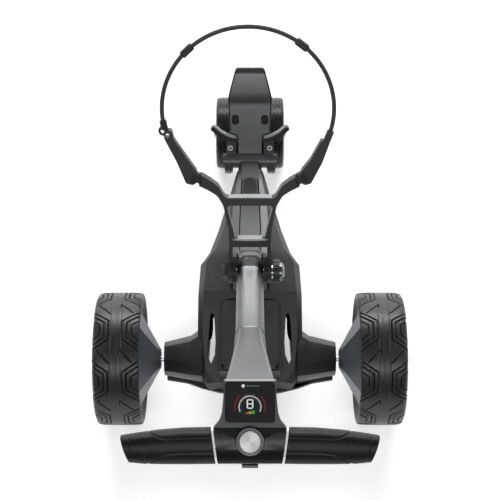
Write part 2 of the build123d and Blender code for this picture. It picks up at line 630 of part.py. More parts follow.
# close the outline across the bottom; the notch between the legs is cut after
radii = []
for x, y in outline:
    r = {39.3: 2.0 if y < 0 else 25, 38: 25, 38.6: 40, 43: 40 if y < 120 else 14, 47.5: 30, 58: 22, 73: 40, 103: 7, 88: 7, 70: 30, 56: 16}[abs(x)]
    radii.append(r)
radii = [r if r > 2.5 else 1.0 for r in radii]
cradle = rounded(outline, radii, CR, -CRADLE_T, CRADLE_T)
cradle = cradle - flat([(-31.1, -20), (31.1, -20), (31.1, 54.3), (-31.1, 54.3)], CR, -30, 30)
win = [(-26, 68), (26, 68), (31, 92), (41.5, 136), (-41.5, 136), (-31, 92)]
cradle = cradle - rounded(win, [4, 4, 30, 5, 5, 30], CR, -30, 30)
cradle = cradle + cyl_x(HINGE_Y, HINGE_Z, 21, 31.1, 39.3) + cyl_x(HINGE_Y, HINGE_Z, 21, -39.3, -31.1)
cradle = cradle - cyl_x(HINGE_Y, HINGE_Z, 6.0 + RUN, -60, 60)
LAP_R = 15.0
for ax, ay in (ARM_L, ARM_R):
    cradle = cradle - cyl_in(CR, ax, ay, LAP_R + 0.4, -0.2, 30) - cyl_in(CR, ax, ay, 3.0 + RUN, -30, 30)
    cradle = cradle + (cyl_in(CR, ax, ay, 11.5, -CRADLE_T, -0.2) - cyl_in(CR, ax, ay, 3.0 + RUN, -30, 30))
put("bag_cradle", cradle)
pad_top = rounded([(-40, 149.2), (40, 149.2), (38.5, 151.4), (-38.5, 151.4)], 0.6, CR, -8, 8)
pad_low = rounded([(-22.5, 68.1), (22.5, 68.1), (21.5, 70.3), (-21.5, 70.3)], 0.6, CR, -8, 8)
pad_top = max(one(pad_top - cradle), key=lambda q: q.volume)
pad_low = max(one(pad_low - cradle), key=lambda q: q.volume)
put("cradle_pads", pad_top, pad_low)

# arms
RA = [(94, 174.5), (108, 178.5), (127.5, 219), (138.5, 253), (124.5, 259.5), (105.5, 222), (84, 193)]
ra = rounded(RA, [8, 6, 60, 2, 2, 60, 8], CR, -CRADLE_T + 1, CRADLE_T - 1)
ra = ra - cyl_in(CR, *ARM_R, LAP_R, -30, 0.2) - cyl_in(CR, *ARM_R, 3.0 + RUN, -30, 30)
# clear the cradle's root outside the lap
root = cradle
ra = ra - flat([(20, 120), (95, 120), (103.5, 180.5), (88, 196.5), (54, 178)], CR, -30, 0.2)
ra = max(one(ra), key=lambda s: s.volume)
LA = [(-98, 174.5), (-113, 178.5), (-128.5, 219), (-149, 262), (-152, 276), (-136, 279), (-133, 262), (-107.5, 222), (-88.5, 193)]
la = rounded(LA, [8, 5, 60, 12, 6, 6, 12, 60, 8], CR, -CRADLE_T + 1, CRADLE_T - 1)
la = la - cyl_in(CR, *ARM_L, LAP_R, -30, 0.2) - cyl_in(CR, *ARM_L, 3.0 + RUN, -30, 30)
la = la - flat([(-20, 120), (-99.5, 120), (-107.5, 180.5), (-92, 196.5), (-54, 178)], CR, -30, 0.2)
la = la - cyl_in(CR, -144, 268.5, 4.2, -30, 30)
put("cradle_arm_left", max(one(la), key=lambda s: s.volume))

piv = []
for ax, ay in (ARM_L, ARM_R):
    p = cyl_in(CR, ax, ay, 3.0, -CRADLE_T - 0.2, CRADLE_T + 0.2)
    p = p + cyl_in(CR, ax, ay, 6.0, CRADLE_T + 0.2 - 1.0, CRADLE_T + 1.4) + cyl_in(CR, ax, ay, 6.0, -CRADLE_T - 2.4, -CRADLE_T - 0.2)
    p = p - (CR * Pos(ax, ay, CRADLE_T + 0.6) * extrude(RegularPolygon(3.0, 6), 3))
    piv.append(p)
# the heads sit outside the faces of arm and cradle
put("arm_pivot_pins", *piv)
# ------------------------------------------------------------------ the strap
def hoop(a0, a1, r, pl=CR):
    """Cord along the hoop between two angles, in degrees."""
    face = Face(Wire.make_circle(r, Plane(origin=(HOOP_R, 0, 0), z_dir=(0, 1, 0))))
    s = Solid.revolve(face, a1 - a0, Axis((0, 0, 0), (0, 0, 1)))
    return pl * Pos(HOOP_C[0], HOOP_C[1], 0) * Rot(0, 0, a0) * s


def on_hoop(a):
    t = math.radians(a)
    return HOOP_C[0] + HOOP_R * math.cos(t), HOOP_C[1] + HOOP_R * math.sin(t)


CLIP_L, CLIP_R = 134.0, 52.0
END_L, END_R = 190.5, -19.6
put("strap_top", hoop(CLIP_R + 0.4, CLIP_L - 0.4, CORD_R))
put("strap_left", hoop(CLIP_L + 0.4, END_L, CORD_R))
put("strap_right", hoop(END_R, CLIP_R - 0.4, CORD_R))
clips = []
for a in (CLIP_L, CLIP_R):
    x, y = on_hoop(a)
    c = CR * Pos(x, y, 0) * Rot(0, 0, a + 90) * Box(24, 12.5, 11)
    c = fillet(c.edges(), 1.5)
    c = c - hoop(a - 8, a - 0.4, CORD_R + 0.05) - hoop(a + 0.4, a + 8, CORD_R + 0.05)
    clips.append(c)
put("strap_clips", *clips)
# right socket that swallows the cord, left toggle that the cord loops round
x, y = on_hoop(END_R)
sock = CR * Pos(x, y, 0) * Rot(0, 0, END_R + 90) * Pos(-1, 0, 0) * Rot(0, 90, 0) * Cylinder(6.6, 26)
sock = sock - hoop(END_R, END_R + 14, CORD_R + 0.05)
ra = (ra - (CR * Pos(x, y, 0) * Rot(0, 0, END_R + 90) * Pos(-1, 0, 0) * Rot(0, 90, 0) * Cylinder(6.0, 26))) + sock
ra = ra - hoop(END_R, END_R + 14, CORD_R + 0.05)
put("cradle_arm_right", max(one(ra), key=lambda s: s.volume))
x, y = on_hoop(END_L)
hook = CR * Pos(x, y, 0) * (Rot(0, 0, END_L + 90) * Rot(0, 90, 0) * Cylinder(6.4, 16))
hook = hook - hoop(END_L - 14, END_L, CORD_R + 0.05)
hook = hook + (CR * Pos(x - 0.5, y - 11, 0) * (Rot(0, 0, 0) * Torus(7.2, 2.3)))
hook = hook - la
hook = max(one(hook), key=lambda s: s.volume)
put("strap_toggle", hook)

# ----------------------------------------------------------------- front end
yoke = cyl_x(BARREL_Y, BARREL_Z, BARREL_R, 33.8, 58) + cyl_x(BARREL_Y, BARREL_Z, BARREL_R, -58, -33.8)
for s in (1, -1):
    yoke = yoke + flat([(s * 35.6, 0), (s * 50.5, 0), (s * 50.5, 44), (s * 44, 64), (s * 35.6, 64)], FR, -13, -5.2)
    yoke = yoke + flat([(s * 35.6, 12), (s * 50.5, 12), (s * 50.5, 38), (s * 35.6, 38)], FR, -5.3, 2)
back = flat([(-44, 44), (44, 44), (46, 120), (-46, 120)], FR, -13, -5.2)
yoke = yoke + back
for s in (1, -1):
    yoke = yoke + flat([(s * 27, 10), (s * 36, 10), (s * 36, 45), (s * 27, 45)], FR, -13, -8)
# central arm down to the axle
axle_l = SY * (FRONT_Y - BARREL_Y) + SZ * (FRONT_R - BARREL_Z)
axle_h = -(SZ * (FRONT_Y - BARREL_Y) - SY * (FRONT_R - BARREL_Z))
arm_prof = [(46, -13), (112, -13), (92, -52), (52, -110), (axle_l + 14, axle_h - 8), (axle_l - 8, axle_h - 14),
            (axle_l - 14, axle_h + 8), (34, -74), (46, -40)]


def lh(l, h):
    """Front plane side view: l up the plate, h out of it."""
    return (BARREL_Y + l * SY - h * SZ, BARREL_Z + l * SZ + h * SY)


arm = prism_x([lh(l, h) for l, h in arm_prof], -16, 16) + cyl_x(FRONT_Y, FRONT_R, 16, -18, 18)
yoke = yoke + arm
yoke = yoke - cyl_x(BARREL_Y, BARREL_Z, 6.0 + RUN, -70, 70) - cyl_x(FRONT_Y, FRONT_R, 5.0, -60, 60)
yoke = yoke - cyl_x(BARREL_Y, BARREL_Z, BARREL_R + 1.2, -33.7, 33.7)
for s in (1, -1):
    yoke = yoke - cyl_in(FR, s * 42.5, 30, 3.4, -30, 30)
pin = cyl_x(BARREL_Y, BARREL_Z, 6.0, -60, 60) + cyl_x(BARREL_Y, BARREL_Z, 9, 58.2, 60.5) + cyl_x(BARREL_Y, BARREL_Z, 9, -60.5, -58.2)
put("barrel_pin", pin)
# toothed fold stops under the barrel ends
stops = []
for s in (1, -1):
    st = flat([(s * 36, 0), (s * 56, 0), (s * 54, -13), (s * 38, -13)], Plane(origin=(0, BARREL_Y - 13, BARREL_Z - 2), x_dir=(1, 0, 0), z_dir=(0, 0, 1)), -9, 3)
    for k in range(3):
        st = st - box(s * (38.5 + 6 * k), s * (40.5 + 6 * k), BARREL_Y - 40, BARREL_Y - 24, 100, 200)
    st = st - cyl_x(BARREL_Y, BARREL_Z, BARREL_R - 1.5, -70, 70)
    stops.append(max(one(st), key=lambda q: q.volume))
for st in stops:
    yoke = yoke + st
yoke = yoke - cyl_x(BARREL_Y, BARREL_Z, 6.0 + RUN, -70, 70)
put("front_yoke", max(one(yoke), key=lambda s: s.volume))
plate_prof = [(41, -5), (41, 0), (121, 0), (129, 2.2), (137, 7.4), (144, 12), (152, 14), (161, 14.2), (200, 9), (209, 12), (214, 18), (216.4, 17), (214, 7), (200, 4), (160, 9.4), (151, 9), (143, 6), (124, -5)]
plate = prism_x([lh(l, h) for l, h in plate_prof], -60, 60)
plate = plate & rounded([(-25, 39), (25, 39), (26.5, 60), (43, 66), (46, 118), (46, 150), (41.5, 170), (30.5, 211), (25.5, 217), (-25.5, 217), (-30.5, 211), (-41.5, 170),
                        (-46, 150), (-46, 118), (-43, 66), (-26.5, 60)], [1, 1, 4, 6, 20, 20, 20, 6, 3, 3, 6, 20, 20, 20, 6, 4], FR, -40, 40)
neckp = flat([(-25, 15), (25, 15), (25, 43), (-25, 43)], FR, -11, 0)
neckp = neckp - cyl_x(BARREL_Y, BARREL_Z, BARREL_R + 0.7, -60, 60) - (flat([(-60, 43.9), (60, 43.9), (60, 60), (-60, 60)], FR, -30, -5.1))
plate = plate + neckp
screws = []
for s in (1, -1):
    plate = plate - rounded([(s * 23.8, 83), (s * 39.2, 83), (s * 39.2, 105), (s * 23.8, 105)], 6.5, FR, -4.0, 10)
    plate = plate - cyl_in(FR, s * 31.5, 94, 3.1, -10, 10)
    sc = cyl_in(FR, s * 31.5, 94, 3.0, -5.1, -4.0) + cyl_in(FR, s * 31.5, 94, 5.2, -3.9, -1.6)
    sc = sc - (FR * Pos(s * 31.5, 94, -3.0) * extrude(RegularPolygon(2.4, 6), 3))
    screws.append(sc)
put("base_plate", max(one(plate), key=lambda s: s.volume))
put("plate_screws", *screws)
wings, pads = [], []
for s in (1, -1):
    w = rounded([(s * 27.5, 47), (s * 46, 49.5), (s * 66, 60), (s * 85, 77), (s * 79.5, 83), (s * 62, 67.5), (s * 45, 58.5), (s * 28.5, 55.5)],
                [1, 30, 30, 1.5, 1.5, 30, 30, 1], FR, 0.1, 15)
    w = w + flat([(s * 46.2, 49.8), (s * 70, 64), (s * 66, 69), (s * 46.2, 58.5)], FR, -12, 0.2)
    w = w - yoke
    wings.append(max(one(w), key=lambda q: q.volume))
    pads.append(rounded([(s * 30, 56.2), (s * 45, 59.3), (s * 61.6, 68.3), (s * 78.4, 83.2), (s * 76.2, 85.6), (s * 60, 71.4), (s * 44, 62.6), (s * 29.5, 59.4)],
                [0.5, 20, 20, 0.5, 0.5, 20, 20, 0.5], FR, 1.5, 14))
put("bag_wings", *wings)
put("wing_pads", *pads)

# front wheels
ft = rev_x([(FRONT_IN, 60), (FRONT_IN, 74), (40, 78), (44, 79.7), (56, 80), (68, 79.7), (72, 78), (FRONT_OUT, 74), (FRONT_OUT, 60), (70, 57), (42, 57)], FRONT_Y, FRONT_R)
for xc in (46.5, 51.5, 56.5, 61.5, 66.5):
    ft = ft - rev_x([(xc - 0.8, 77.5), (xc + 0.8, 77.5), (xc + 0.8, 85), (xc - 0.8, 85)], FRONT_Y, FRONT_R)
fh = rev_x([(20, AXLE_R - 1 + RUN), (20, 14), (38.5, 18), (44.5, 22), (44.5, 52), (42, 54), (42, 56.9), (70, 56.9), (70, 54), (67.5, 52), (67.5, 22), (73, 18), (76, 14), (76, AXLE_R - 1 + RUN)], FRONT_Y, FRONT_R)
for k in range(6):
    t = math.radians(60 * k)
    fh = fh - cyl_x(FRONT_Y + 37 * math.cos(t), FRONT_R + 37 * math.sin(t), 9, 65, 80)
fc = rev_x([(76.2, 0), (76.2, 12), (79.5, 11), (81.5, 6), (82, 0)], FRONT_Y, FRONT_R) - cyl_x(FRONT_Y, FRONT_R, 5.2, 70, 79)
put("front_tyres", ft, mirror_x(ft))
put("front_hubs", fh, mirror_x(fh))
put("front_axle", cyl_x(FRONT_Y, FRONT_R, 4.98, -78.5, 78.5), fc, mirror_x(fc))

# ---------------------------------------------------------------- rear wheels
rt = rev_x([(228, 97), (226.5, 104), (226, 118), (222, 123.5), (REAR_IN + 0.8, 126.5), (REAR_IN, 129.5), (REAR_IN + 1.5, 132), (221, 133.4),
            (228, 134.3), (240, 134.9), (264, 135), (288, 134.8), (299, 134.0), (306, 132), (REAR_OUT - 0.8, 127), (REAR_OUT, 108),
            (REAR_OUT - 2, 101), (300, 97), (297, 97), (300.5, 103), (302.5, 109), (301.5, 119), (298, 125.5), (286, 127.5),
            (264, 128), (240, 127.8), (232, 126), (229.5, 120), (229.5, 110), (230.5, 103), (232, 97)], 0, REAR_R)
for xc in (252.0, 276.0):
    rt = rt - rev_x([(xc - 1.4, 131.5), (xc + 1.4, 131.5), (xc + 1.4, 140), (xc - 1.4, 140)], 0, REAR_R)
FAC = 8


def ngon(x, r):
    return [(x, r * math.cos(math.radians(360 / FAC * k + 22.5)), REAR_R + r * math.sin(math.radians(360 / FAC * k + 22.5))) for k in range(FAC)]


cone = loft([ngon(181, 18.5), ngon(190, 34), ngon(222, 93), ngon(228, 93)])
cone_in = loft([ngon(184.2, 15.5), ngon(193, 31), ngon(225, 90), ngon(229, 90)])
rim = rev_x([(224, 92), (224, 96.9), (304, 96.9), (304, 92)], 0, REAR_R)
rim = rim + (cone - cone_in)
hubt = cyl_x(0, REAR_R, 15.0, 182, 296)
disc = rev_x([(288, 14), (288, 93), (295, 93), (295, 14)], 0, REAR_R)
for k in range(5):
    a = math.radians(72 * k + 90)
    pts = []
    for r, da in ((30, -14), (30, 14), (82, 25), (86, 0), (82, -25)):
        t = a + math.radians(da)
        pts.append((r * math.cos(t), REAR_R + r * math.sin(t)))
    disc = disc - prism_x(pts, 291.4, 300)
hcap = rev_x([(295.5, 9.0), (295.5, 27), (300, 25), (303, 20), (303, 9.0)], 0, REAR_R)
rim = rim + hubt + disc + hcap
rim = rim - cyl_x(0, REAR_R, AXLE_R, 160, 290) - cyl_x(0, REAR_R, 8.25, 288, 310)
axle = cyl_x(0, REAR_R, AXLE_R, 150.4, 288)
qb = cyl_x(0, REAR_R, 8.2, 291.5, 306.0)
sprg = rev_x([(289.0, 6), (289.0, 8), (291.2, 8), (291.2, 6)], 0, REAR_R)
for side, m in (("right", lambda q: q), ("left", mirror_x)):
    put("rear_tyre_" + side, m(rt))
    put("rear_rim_" + side, m(rim))
    put("rear_axle_" + side, m(axle))
    put("wheel_button_" + side, m(qb))

for r in report:
    print("%-24s solids %d volume %.0f" % r)
print(len(report), "nodes")
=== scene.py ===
import math
import random

import bmesh
import bpy
import numpy as np
from mathutils import Matrix, Vector
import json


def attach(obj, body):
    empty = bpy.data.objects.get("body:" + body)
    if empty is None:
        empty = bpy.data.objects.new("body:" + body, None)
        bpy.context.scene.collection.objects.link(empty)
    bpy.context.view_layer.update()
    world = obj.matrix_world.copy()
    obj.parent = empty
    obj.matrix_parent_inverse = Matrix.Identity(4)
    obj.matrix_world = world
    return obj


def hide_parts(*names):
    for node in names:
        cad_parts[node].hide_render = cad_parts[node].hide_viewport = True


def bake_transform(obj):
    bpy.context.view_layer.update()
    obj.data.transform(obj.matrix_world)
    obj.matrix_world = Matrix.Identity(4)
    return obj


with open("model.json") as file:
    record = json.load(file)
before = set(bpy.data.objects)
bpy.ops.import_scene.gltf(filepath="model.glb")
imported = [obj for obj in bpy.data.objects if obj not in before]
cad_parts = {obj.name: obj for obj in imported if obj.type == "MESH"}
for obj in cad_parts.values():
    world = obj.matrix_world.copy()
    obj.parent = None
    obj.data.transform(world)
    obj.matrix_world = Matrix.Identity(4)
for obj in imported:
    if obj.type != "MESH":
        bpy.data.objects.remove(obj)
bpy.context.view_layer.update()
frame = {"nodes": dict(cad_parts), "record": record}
NODES = frame["nodes"]
BODY = {n: b for b, ns in frame["record"]["behaviour"]["bodies"].items() for n in ns}
rng = random.Random(7)

# ------------------------------------------------------------------ frames
# Lengths are written in millimetres with Y = 0 at the rear axle; R() gives the
# row frame in metres.
YS = -93.78
_n = math.hypot(0.63, 0.777)
SY, SZ = 0.63 / _n, 0.777 / _n
_n = math.hypot(0.93, 0.36)
TY, TZ = 0.93 / _n, 0.36 / _n
_n = math.hypot(0.705, 0.709)
DY, DZ = -0.705 / _n, 0.709 / _n


def R(p):
    return (p[0] * 1e-3, (p[1] + YS) * 1e-3, p[2] * 1e-3)


def crp(x, l, h):
    """Point of the cradle plane."""
    return (x, 40 + l * SY - h * SZ, 480 + l * SZ + h * SY)


def frp(x, l, h):
    """Point of the front plate's plane."""
    return (x, 452 + l * SY - h * SZ, 150 + l * SZ + h * SY)


def fcp(x, t, h):
    """Point of the display and dial face."""
    return (x, -427 + t * TY - h * TZ, 950 + t * TZ + h * TY)


def shp(x, n, s):
    """Point of the shaft: n towards its visible upper side, s along it."""
    return (x, 40 + s * DY + n * DZ, 480 + s * DZ - n * DY)


# --------------------------------------------------------------- materials
MATS = {}


def tree(name):
    m = bpy.data.materials.new(name)
    m.use_nodes = True
    t = m.node_tree
    t.nodes.clear()
    out = t.nodes.new("ShaderNodeOutputMaterial")
    b = t.nodes.new("ShaderNodeBsdfPrincipled")
    t.links.new(b.outputs[0], out.inputs[0])
    MATS[name] = m
    return m, t, b


def node(t, kind, **props):
    n = t.nodes.new("ShaderNode" + kind)
    for k, v in props.items():
        setattr(n, k, v)
    return n


def noise(t, vec, scale, detail=2.0, rough=0.5, dist=0.0):
    n = node(t, "TexNoise")
    n.inputs["Scale"].default_value = scale
    n.inputs["Detail"].default_value = detail
    n.inputs["Roughness"].default_value = rough
    n.inputs["Distortion"].default_value = dist
    if vec is not None:
        t.links.new(vec, n.inputs["Vector"])
    return n.outputs["Fac"]


def ramp(t, fac, stops):
    r = node(t, "ValToRGB")
    e = r.color_ramp.elements
    while len(e) < len(stops):
        e.new(0.5)
    for el, (p, c) in zip(e, stops):
        el.position = p
        el.color = (*c, 1) if len(c) == 3 else c
    t.links.new(fac, r.inputs[0])
    return r.outputs[0]


def val(t, fac, lo, hi, a, b):
    r = node(t, "MapRange")
    r.inputs["From Min"].default_value = lo
    r.inputs["From Max"].default_value = hi
    r.inputs["To Min"].default_value = a
    r.inputs["To Max"].default_value = b
    t.links.new(fac, r.inputs["Value"])
    return r.outputs[0]


def math_(t, op, a, b=None):
    m = node(t, "Math", operation=op)
    for i, v in enumerate((a, b)):
        if v is None:
            continue
        if isinstance(v, (int, float)):
            m.inputs[i].default_value = v
        else:
            t.links.new(v, m.inputs[i])
    return m.outputs[0]


def mix(t, fac, a, b, blend="MIX"):
    m = node(t, "Mix", data_type="RGBA", blend_type=blend)
    for s, v in ((m.inputs[0], fac), (m.inputs[6], a), (m.inputs[7], b)):
        if isinstance(v, (int, float)):
            s.default_value = v
        elif isinstance(v, tuple):
            s.default_value = (*v, 1)
        else:
            t.links.new(v, s)
    return m.outputs[2]


def bump(t, b, height, strength, dist, normal=None):
    n = node(t, "Bump")
    n.inputs["Strength"].default_value = strength
    n.inputs["Distance"].default_value = dist
    t.links.new(height, n.inputs["Height"])
    if normal is not None:
        t.links.new(normal, n.inputs["Normal"])
    if b is not None:
        t.links.new(n.outputs[0], b.inputs["Normal"])
    return n.outputs[0]


def coords(t, scale=None, loc=None, rot=None):
    c = node(t, "TexCoord").outputs["Object"]
    if scale is None and loc is None and rot is None:
        return c
    m = node(t, "Mapping")
    m.vector_type = "POINT"
    if loc:
        m.inputs["Location"].default_value = loc
    if rot:
        m.inputs["Rotation"].default_value = rot
    if scale:
        m.inputs["Scale"].default_value = scale
    t.links.new(c, m.inputs["Vector"])
    return m.outputs[0]


def edge_mask(t, radius, lo=0.015, hi=0.12):
    """1 on convex or concave edges within radius, 0 on flat areas."""
    bv = node(t, "Bevel", samples=4)
    bv.inputs["Radius"].default_value = radius
    g = node(t, "NewGeometry")
    d = node(t, "VectorMath", operation="DOT_PRODUCT")
    t.links.new(bv.outputs[0], d.inputs[0])
    t.links.new(g.outputs["Normal"], d.inputs[1])
    return val(t, math_(t, "SUBTRACT", 1.0, d.outputs["Value"]), lo, hi, 0.0, 1.0)


def moulded(name, base, rough, grain=0.0007, grain_bump=0.25, vary=0.10, edge_wear_and_highlight=0.35, spec=0.36, coat=0.0, coat_rough=0.15,
            flow=True, edge=0.0011, painted_side_shade=None, along=None):
    """Injection-moulded plastic: spark-eroded grain, slight sink and colour variation, edges lightened partly as rubbed
    wear and partly as a painted edge highlight, faint dust.
    """
    m, t, b = tree(name)
    c = coords(t)
    big = noise(t, c, 14, 3, 0.55)
    mid = noise(t, c, 120, 4, 0.6)
    fine = noise(t, c, 1.0 / grain, 2.5, 0.6)
    dark = tuple(v * (1 - vary) for v in base)
    light = tuple(min(1, v * (1 + vary)) for v in base)
    col = mix(t, val(t, big, 0.35, 0.65, 0, 1), dark, light)
    speck = val(t, mid, 0.62, 0.75, 0, 0.18)
    col = mix(t, speck, col, tuple(min(1, v * 1.6 + 0.01) for v in base))
    r = val(t, mid, 0.3, 0.7, rough - 0.05, rough + 0.06)
    if edge_wear_and_highlight:
        # convex and concave edges are lightened and made glossier: partly rubbed wear, partly a painted edge highlight
        e = edge_mask(t, edge)
        e = math_(t, "MULTIPLY", e, val(t, noise(t, c, 300, 3, 0.6), 0.35, 0.62, 0.15, 1.0))
        e = math_(t, "MULTIPLY", e, edge_wear_and_highlight)
        col = mix(t, e, col, tuple(min(1, v * 2.3 + 0.035) for v in base))
        r = math_(t, "SUBTRACT", r, math_(t, "MULTIPLY", e, 0.12))
    if painted_side_shade:   # painted shade: the colour is painted darker towards the sides, more so low down
        sx = node(t, "SeparateXYZ")
        t.links.new(c, sx.inputs[0])
        side = val(t, math_(t, "ABSOLUTE", sx.outputs[0]), painted_side_shade[0], painted_side_shade[1], 0, 1)
        col = mix(t, math_(t, "MULTIPLY", side, val(t, sx.outputs[2], painted_side_shade[3], painted_side_shade[4], 1, 0)), col, painted_side_shade[2])
    if along:   # painted shade along the front plate, which is drawn over a bend: the colour is darkened in bands beyond the bend and at the recess near its end, leaving lighter bands between as painted highlight
        dp = node(t, "VectorMath", operation="DOT_PRODUCT")
        dp.inputs[1].default_value = (0, SY, SZ)
        t.links.new(c, dp.inputs[0])
        lo_, hi_ = along[0][0], along[-1][0]
        org = (452 + YS) * 1e-3 * SY + 0.150 * SZ
        fac = val(t, dp.outputs["Value"], org + lo_ * 1e-3, org + hi_ * 1e-3, 0, 1)
        shade = ramp(t, fac, [((q - lo_) / (hi_ - lo_), (k, k, k)) for q, k in along])
        col = mix(t, 1.0, col, shade, "MULTIPLY")
    t.links.new(col, b.inputs["Base Color"])
    t.links.new(r, b.inputs["Roughness"])
    h = math_(t, "ADD", math_(t, "MULTIPLY", fine, 0.6), math_(t, "MULTIPLY", noise(t, c, 0.45 / grain, 1.5), 0.4))
    n1 = bump(t, None, h, grain_bump, grain * 0.35)
    bump(t, b, noise(t, c, 38, 1.0), 0.06, 0.0008, n1)
    b.inputs["Specular IOR Level"].default_value = spec
    b.inputs["Coat Weight"].default_value = coat
    b.inputs["Coat Roughness"].default_value = coat_rough
    return m


def brushed(name, base, rough, direction="X", metal=1.0, streak=0.12, spec=0.5, edge_wear_and_highlight=0.25, aniso=0.0, vary=0.08, painted_side_shade=None):
    """Metal with a brushing direction along a row axis."""
    m, t, b = tree(name)
    s = {"X": (25, 900, 900), "Y": (900, 25, 900), "Z": (900, 900, 25), "S": (900, 25, 900)}[direction]
    if direction == "S":   # along the shaft: turn the frame by the shaft's lean first
        c = coords(t, rot=(math.atan2(DZ, DY) - math.pi / 2, 0, 0))
        mp = node(t, "Mapping")
        mp.inputs["Scale"].default_value = (900, 900, 22)
        t.links.new(c, mp.inputs["Vector"])
        c2 = mp.outputs[0]
    else:
        c2 = coords(t, scale=s)
    line = noise(t, c2, 1.0, 3, 0.6)
    c = coords(t)
    big = noise(t, c, 20, 3)
    col = mix(t, val(t, line, 0.3, 0.7, 0, 1), tuple(v * (1 - vary) for v in base), tuple(min(1, v * (1 + vary)) for v in base))
    col = mix(t, val(t, big, 0.4, 0.7, 0, 0.25), col, tuple(v * 0.82 for v in base))
    r = math_(t, "ADD", val(t, line, 0.25, 0.75, rough - streak / 2, rough + streak / 2), val(t, big, 0.3, 0.7, -0.03, 0.03))
    if edge_wear_and_highlight:
        # edges are lightened: partly rubbed wear, partly a painted edge highlight
        e = math_(t, "MULTIPLY", edge_mask(t, 0.0008), edge_wear_and_highlight)
        col = mix(t, e, col, tuple(min(1, v * 1.5 + 0.08) for v in base))
    if painted_side_shade:   # painted shade: the shaft is painted darker towards its upper end and from the crown to the sides
        sx = node(t, "SeparateXYZ")
        t.links.new(c, sx.inputs[0])
        col = mix(t, val(t, sx.outputs[2], 0.53, 0.69, 0, 1), col, tuple(v * 0.40 for v in base))
        col = mix(t, val(t, math_(t, "ABSOLUTE", sx.outputs[0]), painted_side_shade[0], painted_side_shade[1], 0, 1), col, painted_side_shade[2])
    t.links.new(col, b.inputs["Base Color"])
    t.links.new(r, b.inputs["Roughness"])
    bump(t, b, line, 0.12, 0.00006)
    b.inputs["Metallic"].default_value = metal
    b.inputs["Specular IOR Level"].default_value = spec
    b.inputs["Anisotropic"].default_value = aniso
    return m


def rubber(name, base, rough, rib=None, dust=0.12, grain=0.0012, edge=0.0012, spec=0.45, edge_gain=0.9):
    """Rubber: matt bloom, micro ribs along the rolling direction if rib (metres) is given, scuffed edges."""
    m, t, b = tree(name)
    c = coords(t)
    big = noise(t, c, 22, 4, 0.6)
    mid = noise(t, c, 210, 4, 0.65)
    col = mix(t, val(t, big, 0.35, 0.68, 0, 1), tuple(v * 0.82 for v in base), tuple(v * 1.2 for v in base))
    bloom = math_(t, "MULTIPLY", val(t, mid, 0.45, 0.8, 0, 1), dust)
    col = mix(t, bloom, col, (0.16, 0.155, 0.145))
    e = edge_mask(t, edge)
    e = math_(t, "MULTIPLY", e, val(t, noise(t, c, 260, 3), 0.3, 0.65, 0.25, 1.0))
    e = math_(t, "MULTIPLY", e, edge_gain * 0.5)
    col = mix(t, e, col, tuple(v * 2.4 + 0.02 for v in base))
    t.links.new(col, b.inputs["Base Color"])
    r = val(t, mid, 0.3, 0.7, rough - 0.07, rough + 0.08)
    t.links.new(r, b.inputs["Roughness"])
    h = math_(t, "MULTIPLY", noise(t, c, 1 / grain, 3, 0.6), 0.5)
    if rib:
        w = node(t, "TexWave", wave_type="BANDS", bands_direction="X", wave_profile="SIN")
        w.inputs["Scale"].default_value = 0.314 / rib / 1.0
        w.inputs["Distortion"].default_value = 0.15
        w.inputs["Detail"].default_value = 0
        t.links.new(c, w.inputs["Vector"])
        h = math_(t, "ADD", h, w.outputs["Fac"])
    bump(t, b, h, 0.55, 0.00022)
    b.inputs["Specular IOR Level"].default_value = spec
    return m


SHELL = moulded("satin_charcoal_shell", (0.036, 0.0367, 0.038), 0.46, grain=0.0006, grain_bump=0.16, edge_wear_and_highlight=0.12, spec=0.17)
SPINE = moulded("satin_graphite_spine", (0.072, 0.073, 0.076), 0.34, grain=0.0006, grain_bump=0.16, edge_wear_and_highlight=0.35, coat=0.10, coat_rough=0.25)
BLACK = moulded("black_moulding", (0.014, 0.0142, 0.015), 0.40, grain=0.0008, grain_bump=0.28, edge_wear_and_highlight=0.35)
MOTOR = moulded("black_motor_cover", (0.013, 0.0132, 0.0142), 0.33, grain=0.0007, grain_bump=0.2, edge_wear_and_highlight=0.25, coat=0.08, coat_rough=0.3)
# painted shade: the neck's sides are painted darker, more so low down
NECK = moulded("satin_grey_neck", (0.118, 0.120, 0.124), 0.40, grain=0.0006, grain_bump=0.10, edge_wear_and_highlight=0.0, spec=0.30, painted_side_shade=(0.006, 0.020, (0.018, 0.0185, 0.020), 0.70, 0.90))
NECK_LOW = moulded("satin_dark_neck", (0.045, 0.046, 0.049), 0.40, edge_wear_and_highlight=0.25)
HOUSING = moulded("display_surround", (0.050, 0.0515, 0.055), 0.35, edge_wear_and_highlight=0.25)
LIP = moulded("pale_lip", (0.040, 0.041, 0.043), 0.42, edge_wear_and_highlight=0.2)
CORE_M = moulded("satin_black_core", (0.007, 0.0072, 0.0076), 0.30, grain=0.0005, grain_bump=0.12, edge_wear_and_highlight=0.2, spec=0.18)
CRADLE = moulded("textured_black_nylon", (0.023, 0.0235, 0.0245), 0.47, grain=0.0013, grain_bump=0.75, vary=0.15, edge_wear_and_highlight=0.45, edge=0.0014)
